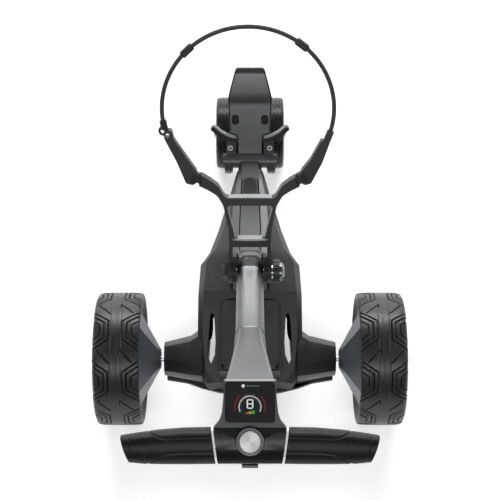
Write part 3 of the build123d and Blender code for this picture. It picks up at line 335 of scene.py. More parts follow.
# the along stops paint shade bands over the plate, lighter between them
PLATE = moulded("satin_grey_plate", (0.200, 0.203, 0.209), 0.34, grain=0.0007, grain_bump=0.2, edge_wear_and_highlight=0.1,
                along=[(60, 0.70), (112, 0.80), (126, 0.95), (131, 0.62), (137, 0.20), (144, 0.24), (158, 0.50), (176, 0.62), (193, 0.80), (199, 1.0), (203, 0.30), (211, 0.14), (217, 0.5)])
KNUCKLE = moulded("satin_knuckle", (0.085, 0.0865, 0.09), 0.36, grain=0.0006, grain_bump=0.12, edge_wear_and_highlight=0.2, coat=0.1)
BUTTON = moulded("satin_button", (0.050, 0.051, 0.054), 0.40, edge_wear_and_highlight=0.2)
CASTING = moulded("powder_coated_casting", (0.055, 0.056, 0.059), 0.36, grain=0.0014, grain_bump=0.5, edge_wear_and_highlight=0.6, spec=0.6, edge=0.0014)
WHEEL = moulded("slate_wheel_dish", (0.060, 0.067, 0.079), 0.34, grain=0.0007, grain_bump=0.12, edge_wear_and_highlight=0.55, coat=0.15, coat_rough=0.25, edge=0.0016)
TYRE = rubber("treaded_tyre", (0.0085, 0.0087, 0.009), 0.36, rib=0.0016, edge=0.0013, dust=0.03, spec=0.5)
FTYRE = rubber("front_tyre", (0.0075, 0.0077, 0.008), 0.32, rib=0.0009, dust=0.02, edge=0.0009, edge_gain=0.3, spec=0.42)
GRIP = rubber("soft_grip", (0.0055, 0.0057, 0.006), 0.42, grain=0.0009, dust=0.02, edge=0.0010, edge_gain=0.4, spec=0.16)
PAD = rubber("grey_pad_rubber", (0.25, 0.254, 0.258), 0.55, dust=0.10, grain=0.0008)
FLANK = moulded("dark_shaft_flank", (0.020, 0.0205, 0.022), 0.34, grain=0.0006, grain_bump=0.1, edge_wear_and_highlight=0.3, coat=0.1)
RIDGE = brushed("polished_ridge", (0.42, 0.43, 0.45), 0.22, "X", metal=0.7, streak=0.06, edge_wear_and_highlight=0.0)
STEEL = brushed("machined_steel", (0.50, 0.51, 0.52), 0.28, "X")
# painted shade: the shaft's sides and its upper end are painted darker
SHAFT = brushed("anodised_shaft", (0.50, 0.505, 0.515), 0.38, "S", metal=0.85, streak=0.07, edge_wear_and_highlight=0.0, painted_side_shade=(0.0080, 0.0160, (0.040, 0.041, 0.044)))
CHROME = brushed("polished_chrome", (0.86, 0.865, 0.87), 0.14, "X", metal=0.25, streak=0.05, edge_wear_and_highlight=0.1, vary=0.02)
DARKCHROME = brushed("smoked_chrome", (0.16, 0.162, 0.168), 0.24, "X", streak=0.06, edge_wear_and_highlight=0.25, vary=0.05)
MATTE = moulded("matt_black", (0.004, 0.0041, 0.0043), 0.7, edge_wear_and_highlight=0.0, spec=0.05)
CIRCUIT = moulded("circuit_board", (0.02, 0.09, 0.04), 0.4)
CELLS = moulded("cell_wrap", (0.02, 0.06, 0.16), 0.35)


def make_dial_face():
    m, t, b = tree("turned_aluminium_face")
    # local frame of the dial: x across, y up the face, z out of it
    c = node(t, "TexCoord").outputs["Object"]
    sub = node(t, "VectorMath", operation="SUBTRACT")
    sub.inputs[1].default_value = R((0, -427, 950))
    t.links.new(c, sub.inputs[0])
    mp = node(t, "Mapping", vector_type="TEXTURE")
    mp.inputs["Rotation"].default_value = (math.atan2(TZ, TY), 0, 0)
    t.links.new(sub.outputs[0], mp.inputs["Vector"])
    sx = node(t, "SeparateXYZ")
    t.links.new(mp.outputs[0], sx.inputs[0])
    x, y = sx.outputs[0], sx.outputs[1]
    rad = math_(t, "SQRT", math_(t, "ADD", math_(t, "MULTIPLY", x, x), math_(t, "MULTIPLY", y, y)))
    n1 = node(t, "TexNoise", noise_dimensions="1D")
    n1.inputs["Scale"].default_value = 5200
    n1.inputs["Detail"].default_value = 2
    t.links.new(rad, n1.inputs["W"])
    ang = math_(t, "ARCTAN2", y, x)
    # the face is painted lighter in two opposite sectors and darker between them, a painted sheen of the turned finish
    sheen_lobes = math_(t, "SINE", math_(t, "MULTIPLY", ang, 2.0))
    fac = val(t, sheen_lobes, -1, 1, 0.0, 1.0)
    mottled = noise(t, c, 900, 4, 0.7)
    col = mix(t, fac, (0.33, 0.328, 0.318), (0.46, 0.456, 0.445))
    col = mix(t, val(t, mottled, 0.35, 0.7, 0, 0.5), col, (0.26, 0.258, 0.25))
    t.links.new(col, b.inputs["Base Color"])
    t.links.new(val(t, n1.outputs["Fac"], 0.3, 0.7, 0.30, 0.46), b.inputs["Roughness"])
    h = math_(t, "ADD", n1.outputs["Fac"], math_(t, "MULTIPLY", mottled, 0.5))
    bump(t, b, h, 0.25, 0.00008)
    b.inputs["Metallic"].default_value = 0.85
    return m


def make_screen():
    m, t, b = tree("screen_cover_glass")
    c = coords(t)
    smear = noise(t, c, 90, 4, 0.65)
    col = mix(t, val(t, smear, 0.4, 0.7, 0, 1), (0.010, 0.0105, 0.0115), (0.014, 0.0145, 0.0155))
    t.links.new(col, b.inputs["Base Color"])
    t.links.new(val(t, smear, 0.3, 0.75, 0.05, 0.13), b.inputs["Roughness"])
    bump(t, b, noise(t, c, 25, 1), 0.02, 0.0003)
    b.inputs["Specular IOR Level"].default_value = 0.6
    b.inputs["Coat Weight"].default_value = 0.6
    b.inputs["Coat Roughness"].default_value = 0.04
    return m


def lit(name, colour, strength):
    """Lit mark behind the cover glass."""
    m, t, b = tree(name)
    c = coords(t)
    n = noise(t, c, 2600, 1)
    col = mix(t, val(t, n, 0.3, 0.7, 0, 1), tuple(v * 0.85 for v in colour), colour)
    t.links.new(col, b.inputs["Base Color"])
    t.links.new(col, b.inputs["Emission Color"])
    b.inputs["Emission Strength"].default_value = strength
    b.inputs["Roughness"].default_value = 0.12
    return m


DIALFACE = make_dial_face()
SCREEN = make_screen()
LIT_WHITE = lit("lit_white", (0.70, 0.71, 0.72), 0.25)
LIT_GREY = lit("lit_grey", (0.16, 0.165, 0.17), 0.15)
LIT_RED = lit("lit_red", (0.20, 0.012, 0.016), 0.2)
LIT_RED2 = lit("lit_bright_red", (0.50, 0.03, 0.02), 0.25)
LIT_ORANGE = lit("lit_orange", (0.55, 0.17, 0.02), 0.25)
LIT_YELLOW = lit("lit_yellow", (0.55, 0.42, 0.03), 0.25)
LIT_GREEN = lit("lit_green", (0.04, 0.38, 0.06), 0.25)


def make_cord():
    """Elastic cord: braided sleeve drawn from the along and round attributes of the tube."""
    m, t, b = tree("braided_elastic_cord")
    a = node(t, "Attribute", attribute_name="along", attribute_type="GEOMETRY").outputs["Fac"]
    r = node(t, "Attribute", attribute_name="round", attribute_type="GEOMETRY").outputs["Fac"]
    k = 2 * math.pi / 0.0042
    p1 = math_(t, "SINE", math_(t, "ADD", math_(t, "MULTIPLY", a, k), math_(t, "MULTIPLY", r, 8.0)))
    p2 = math_(t, "SINE", math_(t, "SUBTRACT", math_(t, "MULTIPLY", a, k), math_(t, "MULTIPLY", r, 8.0)))
    h = math_(t, "MAXIMUM", p1, p2)
    c = coords(t)
    fibre = noise(t, c, 2400, 3, 0.7)
    col = mix(t, val(t, h, 0.2, 1.0, 0, 1), (0.008, 0.008, 0.0085), (0.027, 0.0275, 0.029))
    col = mix(t, val(t, fibre, 0.55, 0.8, 0, 0.35), col, (0.06, 0.06, 0.062))
    t.links.new(col, b.inputs["Base Color"])
    t.links.new(val(t, h, 0, 1, 0.62, 0.42), b.inputs["Roughness"])
    bump(t, b, math_(t, "ADD", h, math_(t, "MULTIPLY", fibre, 0.3)), 0.6, 0.0003)
    return m


CORD = make_cord()

NODE_MAT = {
    "spine_beam": SPINE, "spine_inlay": BLACK, "deck_shell": SHELL, "belly_pan": BLACK, "motor_housings": MOTOR, "rear_skirt": LIP,
    "drive_units": STEEL, "axle_bearings": STEEL, "battery_tray": SHELL, "motor_controller": CASTING, "hinge_bolt": STEEL,
    "release_socket": BLACK, "barrel_pin": BLACK, "battery_case": BLACK, "battery_lid": SHELL, "battery_cells": CELLS,
    "clamp_knob": BLACK, "clamp_knob_cap": DARKCHROME, "release_button": BLACK, "shaft_tube": SHAFT, "shaft_knuckle": NECK_LOW,
    "neck_top_cover": NECK, "neck_lower_shell": NECK_LOW, "display_housing": HOUSING, "display_glass": SCREEN, "display_module": CIRCUIT,
    "handle_core": CORE_M, "handle_bar_tube": STEEL, "chrome_trim": CHROME, "hand_grips": GRIP, "usb_cover": GRIP, "dial_stem": BLACK,
    "dial_ring": DARKCHROME, "dial_cap": DIALFACE, "bag_cradle": CRADLE, "cradle_pads": PAD, "arm_pivot_pins": BLACK, "strap_top": CORD,
    "strap_clips": BLACK, "cradle_arm_left": CRADLE, "strap_left": CORD, "strap_toggle": BLACK, "cradle_arm_right": CRADLE, "strap_right": CORD,
    "front_yoke": CASTING, "base_plate": PLATE, "plate_screws": BLACK, "bag_wings": BLACK, "wing_pads": PAD, "front_axle": STEEL,
    "front_tyres": FTYRE, "front_hubs": BLACK, "rear_tyre_left": TYRE, "rear_rim_left": WHEEL, "rear_axle_left": STEEL,
    "rear_tyre_right": TYRE, "rear_rim_right": WHEEL, "rear_axle_right": STEEL, "wheel_button_left": BLACK, "wheel_button_right": BLACK,
}
for n, o in NODES.items():
    o.data.materials.clear()
    o.data.materials.append(NODE_MAT[n])


# ------------------------------------------------------------- mesh building
def piece(name, verts, faces, body, mat, smooth=True, sharp=35, attrs=None, mm=True):
    """A mesh object from millimetre vertices, riding on a body."""
    v = np.asarray(verts, float)
    if mm:
        v = (v + np.array([0, YS, 0])) * 1e-3
    me = bpy.data.meshes.new(name)
    me.from_pydata([tuple(p) for p in v], [], faces)
    me.validate()
    me.update()
    if smooth:
        me.polygons.foreach_set("use_smooth", [True] * len(me.polygons))
        me.set_sharp_from_angle(angle=math.radians(sharp))
    for k, a in (attrs or {}).items():
        at = me.attributes.new(k, "FLOAT", "POINT")
        at.data.foreach_set("value", np.asarray(a, np.float32))
    me.materials.append(mat)
    o = bpy.data.objects.new(name, me)
    bpy.context.scene.collection.objects.link(o)
    if body is not None:
        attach(o, body)
    return o


def grid_faces(nu, nv, wrap_u=False, wrap_v=False, flip=False):
    f = []
    for i in range(nu if wrap_u else nu - 1):
        i2 = (i + 1) % nu
        for j in range(nv if wrap_v else nv - 1):
            j2 = (j + 1) % nv
            q = (i * nv + j, i * nv + j2, i2 * nv + j2, i2 * nv + j)
            f.append(q[::-1] if flip else q)
    return f


def outward(o):
    """Turn every face of a closed mesh outwards."""
    bm = bmesh.new()
    bm.from_mesh(o.data)
    bmesh.ops.recalc_face_normals(bm, faces=bm.faces)
    bm.to_mesh(o.data)
    bm.free()
    return o


def soften(nd, w, mat=None, ang=30, seg=2, dissolve=0.6, paint=None, edge_mat=None):
    """A bevelled copy of a CAD node's mesh that stands for the node."""
    src = NODES[nd]
    bm = bmesh.new()
    bm.from_mesh(src.data)
    bmesh.ops.remove_doubles(bm, verts=bm.verts, dist=3e-6)
    bmesh.ops.dissolve_limit(bm, angle_limit=math.radians(dissolve), verts=bm.verts, edges=bm.edges)
    me = bpy.data.meshes.new(nd + "_finished")
    bm.to_mesh(me)
    bm.free()
    me.polygons.foreach_set("use_smooth", [True] * len(me.polygons))
    me.materials.append(mat or NODE_MAT[nd])
    if paint:
        other, rule = paint
        me.materials.append(other)
        for p in me.polygons:
            c, nn = p.center, p.normal
            if rule(c.x * 1e3, c.y * 1e3 - YS, c.z * 1e3, nn):
                p.material_index = 1
    o = bpy.data.objects.new(nd + "_finished", me)
    bpy.context.scene.collection.objects.link(o)
    bv = o.modifiers.new("bevel", "BEVEL")
    bv.width = w * 1e-3
    bv.segments = seg
    bv.limit_method = "ANGLE"
    bv.angle_limit = math.radians(ang)
    bv.use_clamp_overlap = True
    bv.miter_outer = "MITER_ARC"
    bv.harden_normals = False
    if edge_mat:
        me.materials.append(edge_mat)
        bv.material = len(me.materials) - 1
    if nd not in ("motor_housings", "rear_skirt"):
        wn = o.modifiers.new("normals", "WEIGHTED_NORMAL")
        wn.keep_sharp = False
        wn.weight = 60
    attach(o, BODY[nd])
    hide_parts(nd)
    return o


SOFT = {
    "spine_beam": (0.9, 24), "deck_shell": (2.6, 16), "motor_housings": (3.2, 12), "rear_skirt": (0.8, 30),
    "battery_lid": (1.2, 20), "battery_case": (0.6, 30),
    "neck_top_cover": (3.0, 25), "neck_lower_shell": (0.9, 25), "display_housing": (0.8, 30), "handle_core": (0.7, 28),
    "clamp_knob": (0.5, 30), "release_button": (0.5, 30), "release_socket": (0.5, 30),
    "bag_cradle": (0.9, 30), "cradle_arm_left": (0.9, 30), "cradle_arm_right": (0.9, 30), "cradle_pads": (0.4, 30),
    "front_yoke": (0.7, 30), "base_plate": (0.8, 25), "bag_wings": (0.8, 30), "wing_pads": (0.4, 30),
    "rear_rim_left": (1.5, 20), "rear_rim_right": (1.5, 20), "display_glass": (0.5, 30), "strap_toggle": (0.3, 35),
    "usb_cover": (0.4, 30), "wheel_button_left": (0.6, 30), "wheel_button_right": (0.6, 30), "dial_cap": (0.25, 30),
}


def plane_l(y, z):
    return (y - 452.0) * SY + (z - 150.0) * SZ


def plane_h(y, z):
    return -(y - 452.0) * SZ + (z - 150.0) * SY


PAINT = {
    # the hinge cheeks are black, the spine itself graphite; faces turned to the left, right-facing faces beyond y 412
    # and all faces short of y 121 by the hinge are painted black as painted shade
    "spine_beam": (BLACK, lambda x, y, z, n: (z > 335 and y < 128 and abs(x) > 22.5) or n.x < -0.3 or (n.x > 0.3 and y > 412) or y < 121),
    # the screw wells in the plate are in shadow black
    "base_plate": (BLACK, lambda x, y, z, n: 23.4 < abs(x) < 39.6 and plane_l(y, z) > 82.6 and plane_l(y, z) < 105.4 and plane_h(y, z) < -0.4),
}
for nd, (w, ang) in SOFT.items():
    soften(nd, w, ang=ang, paint=PAINT.get(nd), edge_mat=RIDGE if nd.startswith("rear_rim") else CASTING if nd == "bag_wings" else None)


# ------------------------------------------------------------------ shaft
def shaft():
    """The shaft with its crowned, soft-edged section; its root runs up over the knuckle in an arch."""
    half = [(0, 17.95), (8, 17.6), (14, 16.1), (19, 12.9), (22.5, 8.0), (23.85, 2.0), (23.85, -5.0), (22.2, -9.6), (18.0, -13.7), (12.5, -17.3), (0, -17.95)]
    sec = closed_smooth(half + [(-x, n) for x, n in half[-2:0:-1]], 6)
    sec = [(x, n) for x, n in sec]
    v, count = [], 0
    for k in np.linspace(0, 1, 26):       # the arch over the knuckle
        s = 5.2 + 20.0 * (1 - math.cos(k * math.pi / 2))
        wide = math.sqrt(max(0.0, 1 - (max(0.0, 20.0 - s) / 14.82) ** 2))
        crest = float(np.interp(s, [5, 8, 12, 16, 20, 25.3], [31.6, 29.6, 25.6, 21.6, 18.9, 17.95]))
        base = float(np.interp(s, [5, 12, 18, 25.3], [16.0, 6.0, -10.0, -17.95]))
        v += [shp(x * wide, base + (n + 17.95) / 35.9 * (crest - base), s) for x, n in sec]
        count += 1
    for s in np.concatenate([np.linspace(32, 292, 9), [299.2, 299.85]]):
        k = 0.985 if s > 299.5 else 1.0
        v += [shp(x * k, n * k, s) for x, n in sec]
        count += 1
    m = len(sec)
    f = grid_faces(count, m, False, True)
    f += [tuple(range(m)), tuple(range((count - 1) * m, count * m))]
    o = outward(piece("shaft_crowned", np.array(v), f, "handle", SHAFT, sharp=50))
    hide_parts("shaft_tube")


def knuckle():
    """Domed knuckle round the pivot: a side profile that shrinks to the sides on a superellipse."""
    prof = []
    for k in range(0, 120):
        a = 2 * math.pi * k / 120
        d = (math.cos(a), math.sin(a))        # y, z from the pivot
        # support of the hull of the pivot circle and the nose circle along the ray
        best = 0.0
        for c in np.linspace(0, 1, 30):
            cy, cz, r = 22 * c * math.cos(math.radians(25)), 22 * c * math.sin(math.radians(25)), 24 - 9 * c
            b = d[0] * cy + d[1] * cz
            q = b * b - (cy * cy + cz * cz - r * r)
            if q > 0:
                best = max(best, b + math.sqrt(q))
        prof.append((d[0] * best, d[1] * best))
    v, rows = [], 0
    for t_ in np.sin(np.linspace(-math.pi / 2, math.pi / 2, 41)):
        g = max(1 - abs(t_) ** 2.6, 0.0) ** (1 / 2.6) if abs(t_) < 0.9995 else 0.16
        g = max(g, 0.16)
        v += [(24.3 * t_, 40 + y * g, 480 + z * g) for y, z in prof]
        rows += 1
    m = len(prof)
    f = grid_faces(rows, m, False, True)
    f += [tuple(range(m)), tuple(range((rows - 1) * m, rows * m))]
    o = outward(piece("knuckle_domed", np.array(v), f, "handle", KNUCKLE, sharp=60))
    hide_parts("shaft_knuckle")


# --------------------------------------------------------------- rear tyres
def seg_dist(x, y, a, b):
    """Distance of points (x, y) to segment a-b."""
    ax, ay = a
    bx, by = b
    dx, dy = bx - ax, by - ay
    t = np.clip(((x - ax) * dx + (y - ay) * dy) / (dx * dx + dy * dy), 0, 1)
    return np.hypot(x - ax - t * dx, y - ay - t * dy)


def groove(d, half, depth, lip=0.40):
    """Depth of a groove of half width half at distance d from its centreline."""
    return depth * np.clip((half + lip - d) / (2 * lip), 0, 1)


PITCH = 45.0
ARC = math.radians(PITCH) * 134.0   # millimetres of tread per repeat


def tread(x, th):
    """Depth of the tread, in mm, at x across (0 at the middle) and th round, in degrees."""
    u = ((th / PITCH + 0.5) % 1.0 - 0.5) * ARC          # -ARC/2 .. ARC/2, 0 at the hexagon's middle
    ax = np.abs(x)
    d = np.zeros_like(x)
    # three nested half hexagons on each side of the centre band
    def half_hex(xi, ui, xe, ue):
        return np.minimum.reduce([
            seg_dist(ax, u, (xi, -ui), (xi, ui)),
            seg_dist(ax, u, (xi, ui), (xe, ue)),
            seg_dist(ax, u, (xi, -ui), (xe, -ue)),
        ])
    d = np.maximum(d, groove(half_hex(14.0, 20.6, 50, 45.0), 1.0, 3.0))
    d = np.maximum(d, groove(half_hex(22.0, 16.5, 50, 35.5), 1.0, 3.0))
    d = np.maximum(d, groove(half_hex(31.5, 10.5, 50, 23.0), 0.9, 2.4))
    # stepped plates inside the hexagons
    inside_b = (ax > 22.0) & (np.abs(u) < 16.5 + (ax - 22.0) * (19.0 / 28))
    inside_c = (ax > 31.5) & (np.abs(u) < 10.5 + (ax - 31.5) * (12.5 / 18.5))
    d = d + np.where(inside_b & ~inside_c, 0.8, 0.0) + np.where(inside_c, 0.2, 0.0)
    # slanting cuts between the hexagons, leaning the same way on both sides
    um = np.where(u > 0, u - ARC / 2, u + ARC / 2)
    d = np.maximum(d, groove(seg_dist(x, um, (12, 14), (36, -10)), 0.9, 2.6))
    d = np.maximum(d, groove(seg_dist(x, um, (-33, 12), (-8, -13)), 0.9, 2.6))
    d = np.maximum(d, groove(seg_dist(x, um, (-8, -13), (-8, -2)), 0.7, 1.8))
    d = np.maximum(d, groove(seg_dist(x, um, (36, -10), (31, -13)), 0.7, 1.8))
    # shallow rain lines beside the centre band and a fine double line in it
    d = np.maximum(d, groove(np.abs(ax - 10.5), 0.35, 0.7, 0.3))
    d = np.maximum(d, groove(np.abs(ax - 2.2), 0.30, 0.45, 0.3))
    return d


def catmull(pts, n):
    """Points along a smooth open line through pts, n per span."""
    p = np.asarray(pts, float)
    e = np.vstack([2 * p[0] - p[1], p, 2 * p[-1] - p[-2]])
    out = []
    for i in range(1, len(e) - 2):
        for k in range(n):
            s = k / n
            a, b, c, d = e[i - 1], e[i], e[i + 1], e[i + 2]
            out.append(0.5 * (2 * b + (c - a) * s + (2 * a - 5 * b + 4 * c - d) * s * s + (3 * b - a - 3 * c + d) * s ** 3))
    out.append(e[-2])
    return np.array(out)


def rear_tyre(side):
    sgn = 1 if side == "right" else -1
    tread_line = catmull([(216.7, 129.6), (217.5, 131.7), (220.6, 133.1), (227, 134.1), (240, 134.75), (264, 134.95),
                          (288, 134.65), (298.5, 133.7), (305.0, 131.5), (308.3, 127), (309.6, 121), (309.85, 114)], 40)
    # even spacing along the tread, about 0.9 mm
    s = np.concatenate([[0], np.cumsum(np.hypot(*np.diff(tread_line, axis=0).T))])
    k = int(s[-1] / 0.95)
    ss = np.linspace(0, s[-1], k)
    line = np.column_stack([np.interp(ss, s, tread_line[:, 0]), np.interp(ss, s, tread_line[:, 1])])
    wall_out = [(309.8, 111.5), (309.9, 109.5), (309.4, 107.6), (308.6, 107.0), (308.4, 106.0), (309.0, 105.2), (308.4, 103.0), (307.0, 100.8), (303.5, 98.6), (300, 97.15)]
    wall_in = [(228.6, 97.15), (227.3, 100), (226.7, 104), (226.2, 111), (226.15, 116), (225.8, 119), (223.6, 122.4), (220.2, 124.8), (217.9, 126.4), (216.9, 128.0)]
    prof = np.vstack([wall_in, line, wall_out])
    nrm = np.zeros_like(prof)
    tan = np.gradient(prof, axis=0)
    tan /= np.linalg.norm(tan, axis=1)[:, None]
    nrm[:, 0], nrm[:, 1] = -tan[:, 1], tan[:, 0]
    n_th = 900
    i0, i1 = len(wall_in), len(wall_in) + len(line)
    # distance across the tread, unrolled from the middle
    mid = np.interp(264, line[:, 0], ss)
    across = np.zeros(len(prof))
    across[i0:i1] = ss - mid
    th = np.arange(n_th) * 360.0 / n_th
    A, T = np.meshgrid(across, th)
    fade = np.zeros(len(prof))
    fade[i0:i1] = np.clip(np.minimum(ss, s[-1] - ss) / 3.0, 0, 1)
    phase = -15.8
    dep = tread(A, (T - 115.0 + phase)) * fade[None, :]
    px = prof[None, :, 0] - nrm[None, :, 0] * dep
    pr = prof[None, :, 1] - nrm[None, :, 1] * dep
    c, sn = np.cos(np.radians(T)), np.sin(np.radians(T))
    v = np.stack([sgn * px, pr * c, 135 + pr * sn], axis=-1).reshape(-1, 3)
    f = grid_faces(n_th, len(prof), wrap_u=True, wrap_v=True, flip=sgn > 0)
    o = piece("tyre_" + side, v, f, "rear_wheel_" + side, TYRE, sharp=40)
    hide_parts("rear_tyre_" + side)
    return o


rear_tyre("right")
rear_tyre("left")


# -------------------------------------------------------------- front tyres
def revolve(name, prof, y, z, n, body, mat, sharp=35, sgn=1):
    p = np.asarray(prof, float)
    th = np.radians(np.arange(n) * 360.0 / n)
    v = np.stack([np.broadcast_to(sgn * p[None, :, 0], (n, len(p))), y + p[None, :, 1] * np.cos(th)[:, None],
                  z + p[None, :, 1] * np.sin(th)[:, None]], axis=-1).reshape(-1, 3)
    o = piece(name, v, grid_faces(n, len(p), True, True), body, mat, sharp=sharp)
    return outward(o)


def front_profile():
    base = catmull([(37.2, 66), (37.4, 73), (39.6, 77.2), (44, 79.2), (50, 79.9), (56, 80.0), (62, 79.9), (68, 79.2), (72.4, 77.2), (74.6, 73), (74.8, 66)], 18)
    x, r = base[:, 0], base[:, 1].copy()
    for xc, w, dd in ((43.2, 0.5, 1.0), (47.6, 0.9, 1.9), (52.0, 0.45, 0.8), (56.0, 1.0, 2.0), (60.0, 0.45, 0.8), (64.4, 0.9, 1.9), (68.8, 0.5, 1.0)):
        r -= dd * np.clip((w + 0.35 - np.abs(x - xc)) / 0.5, 0, 1)
    outer = np.column_stack([x, r])
    return np.vstack([[(70, 57.1), (72.6, 58.6), (74.2, 61.0)][::-1][0:0] or np.empty((0, 2)), [(42, 57.1), (39.6, 58.6), (37.8, 61.5)], outer, [(74.2, 61.5), (72.4, 58.6), (70, 57.1)]])


fp_ = front_profile()
for nm, s in (("right", 1), ("left", -1)):
    o = revolve("front_tyre_" + nm, fp_, 561, 80, 220, "front_wheels", FTYRE, sgn=s, sharp=30)
    if nm == "right":
        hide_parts("front_tyres")


# ------------------------------------------------------------------- grips
GRIP_BASE = [(1.0, -0.45), (0.82, -0.16), (0.45, 0.0), (-0.1, 0.0), (-0.6, -0.12), (-0.92, -0.34),
             (-1.0, -0.56), (-0.86, -0.82), (-0.45, -1.0), (0.1, -1.0), (0.6, -0.92), (0.92, -0.72)]
GRIP_ST = [  # x front, x rear, thickness, t front, t rear, drop
    (54.6, 47.8, 1.0, 18.9, -32.6, 0.4), (92, 86, 0.97, 18.3, -33.0, 0.0), (128, 120, 0.93, 15.5, -33.0, -1.0),
    (158, 148, 0.88, 11.5, -32.5, -2.5), (184.5, 169, 0.80, 7.6, -30.5, -4.5)]


def closed_smooth(pts, n):
    p = np.asarray(pts, float)
    m = len(p)
    out = []
    for i in range(m):
        a, b, c, d = p[i - 1], p[i], p[(i + 1) % m], p[(i + 2) % m]
        for k in range(n):
            s = k / n
            out.append(0.5 * (2 * b + (c - a) * s + (2 * a - 5 * b + 4 * c - d) * s * s + (3 * b - a - 3 * c + d) * s ** 3))
    return np.array(out)


def grip(side):
    sgn = 1 if side == "right" else -1
    sec = closed_smooth(GRIP_BASE, 12) * np.array([0.995, 0.985]) + np.array([0, -0.006])
    st = np.array(GRIP_ST)
    f = np.linspace(0, 1, 190)
    # denser at both ends for the rolled edges
    f = np.unique(np.concatenate([f, 1 - np.geomspace(0.0008, 0.03, 10), np.geomspace(0.0008, 0.02, 8)]))
    idx = np.linspace(0, 1, len(st))
    par = np.column_stack([np.interp(f, idx, st[:, k]) for k in range(6)])
    # smooth the kinks between the stations
    for _ in range(14):
        par[1:-1] = (par[:-2] + 2 * par[1:-1] + par[2:]) / 4
    rows = []
    for (xf, xr, th, tf, tr, drop), ff in zip(par, f):
        mid, hw = (tf + tr) / 2, (tf - tr) / 2
        tt = sec[:, 0] * hw + mid
        hh = sec[:, 1] * 44 * th + drop
        x = xr + (xf - xr) * (tt + 33) / 52.0
        edge = min((1 - ff) / 0.022, 1.0)
        shrink = 1 - 0.10 * (1 - math.sqrt(max(0.0, 1 - (1 - edge) ** 2)))
        edge2 = min(ff / 0.008, 1.0)
        shrink *= 1 - 0.03 * (1 - math.sqrt(max(0.0, 1 - (1 - edge2) ** 2)))
        cm, ch = mid, -22 * th + drop
        tt = cm + (tt - cm) * shrink
        hh = ch + (hh - ch) * shrink
        rows.append(np.column_stack([x, tt, hh, sec[:, 0], sec[:, 1], np.full(len(sec), ff)]))
    a = np.array(rows)
    x, t, h, su, sv, ff = [a[:, :, k] for k in range(6)]
    top = sv > -0.5
    # two sweeping grooves on the upper side: position across is the section's own t share
    def curve(xx, kind):
        q = np.clip((xx - 54) / (142 - 54), 0, 1)
        if kind == "front":
            return 0.40 + 0.62 * np.clip((q - 0.55) / 0.45, 0, 1) ** 2.2
        return -0.34 - 0.66 * np.clip((q - 0.45) / 0.55, 0, 1) ** 2.4
    dep = np.zeros_like(x)
    for kind in ("front", "rear"):
        cu = curve(x, kind)
        dist = np.abs(su - cu) * 26 * 0.8
        live = (x < 143) & (sv > -0.62)
        dep = np.maximum(dep, np.where(live, 1.0 * np.clip((1.35 - dist) / 1.0, 0, 1), 0))
    # parting lines round the end cap
    dep = np.maximum(dep, 0.5 * np.clip((0.9 - np.abs(x - (xr_line(t)))) / 0.6, 0, 1))
    ct, chh = t.mean(axis=1, keepdims=True), h.mean(axis=1, keepdims=True)
    dt, dh = t - ct, h - chh
    ln = np.hypot(dt, dh)
    t, h = t - dt / ln * dep, h - dh / ln * dep
    v = np.stack([sgn * x, -427 + t * TY - h * TZ, 950 + t * TZ + h * TY], axis=-1)
    nu, nv = x.shape
    v = v.reshape(-1, 3)
    faces = grid_faces(nu, nv, wrap_v=True, flip=sgn < 0)
    verts = list(v)
    # domed outer end and a flat inner end
    for i, dome in ((0, 0.0), (nu - 1, 1.6)):
        ring = list(range(i * nv, i * nv + nv))
        cen = np.mean([verts[k] for k in ring], axis=0)
        prev = ring
        if dome:
            for sc, dx in ((0.93, 0.55), (0.75, 1.1), (0.45, 1.5)):
                new = []
                for k in ring:
                    p = cen + (verts[k] - cen) * sc + np.array([sgn * dx, 0, 0])
                    verts.append(p)
                    new.append(len(verts) - 1)
                for j in range(nv):
                    faces.append((prev[j], prev[(j + 1) % nv], new[(j + 1) % nv], new[j]))
                prev = new
        verts.append(cen + np.array([sgn * dome, 0, 0]))
        c = len(verts) - 1
        for j in range(nv):
            faces.append((prev[j], prev[(j + 1) % nv], c))
    o = piece("grip_" + side, np.array(verts), faces, "handle", GRIP, sharp=50)
    return outward(o)


def xr_line(t):
    return 163.0 + 10.0 * (t + 33) / 52.0 - 1.0


shaft()
knuckle()
g1 = grip("right")
g2 = grip("left")
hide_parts("hand_grips")

# ------------------------------------------------------------------ display
def face_poly(name, pts, h0, h1, mat, body="handle", slot="screen"):
    """Thin plate on the display face from (x, t) points."""
    n = len(pts)
    v = [fcp(x, t, h0) for x, t in pts] + [fcp(x, t, h1) for x, t in pts]
    f = [tuple(range(n))[::-1], tuple(range(n, 2 * n))]
    for i in range(n):
        j = (i + 1) % n
        f.append((i, j, n + j, n + i))
    return outward(piece(name, np.array(v), f, body, mat, smooth=False))


def arc_band(cx, ct, r0, r1, a0, a1, n=24):
    p = [(cx + r1 * math.cos(math.radians(a0 + (a1 - a0) * k / n)), ct + r1 * math.sin(math.radians(a0 + (a1 - a0) * k / n))) for k in range(n + 1)]
    q = [(cx + r0 * math.cos(math.radians(a0 + (a1 - a0) * k / n)), ct + r0 * math.sin(math.radians(a0 + (a1 - a0) * k / n))) for k in range(n + 1)]
    return p + q[::-1]


H0, H1 = 0.50, 0.58
GC = (0.0, 47.5)


def bars(name, polys, mat, h0=H0, h1=H1):
    """Several thin plates as one piece."""
    v, f = [], []
    for pts in polys:
        b = len(v)
        n = len(pts)
        v += [fcp(x, t, h0) for x, t in pts] + [fcp(x, t, h1) for x, t in pts]
        f.append(tuple(b + k for k in range(n))[::-1])
        f.append(tuple(b + n + k for k in range(n)))
        for i in range(n):
            j = (i + 1) % n
            f.append((b + i, b + j, b + n + j, b + n + i))
    return outward(piece(name, np.array(v), f, "handle", mat, smooth=False))


def rect(x0, x1, t0, t1):
    return [(x0, t0), (x1, t0), (x1, t1), (x0, t1)]


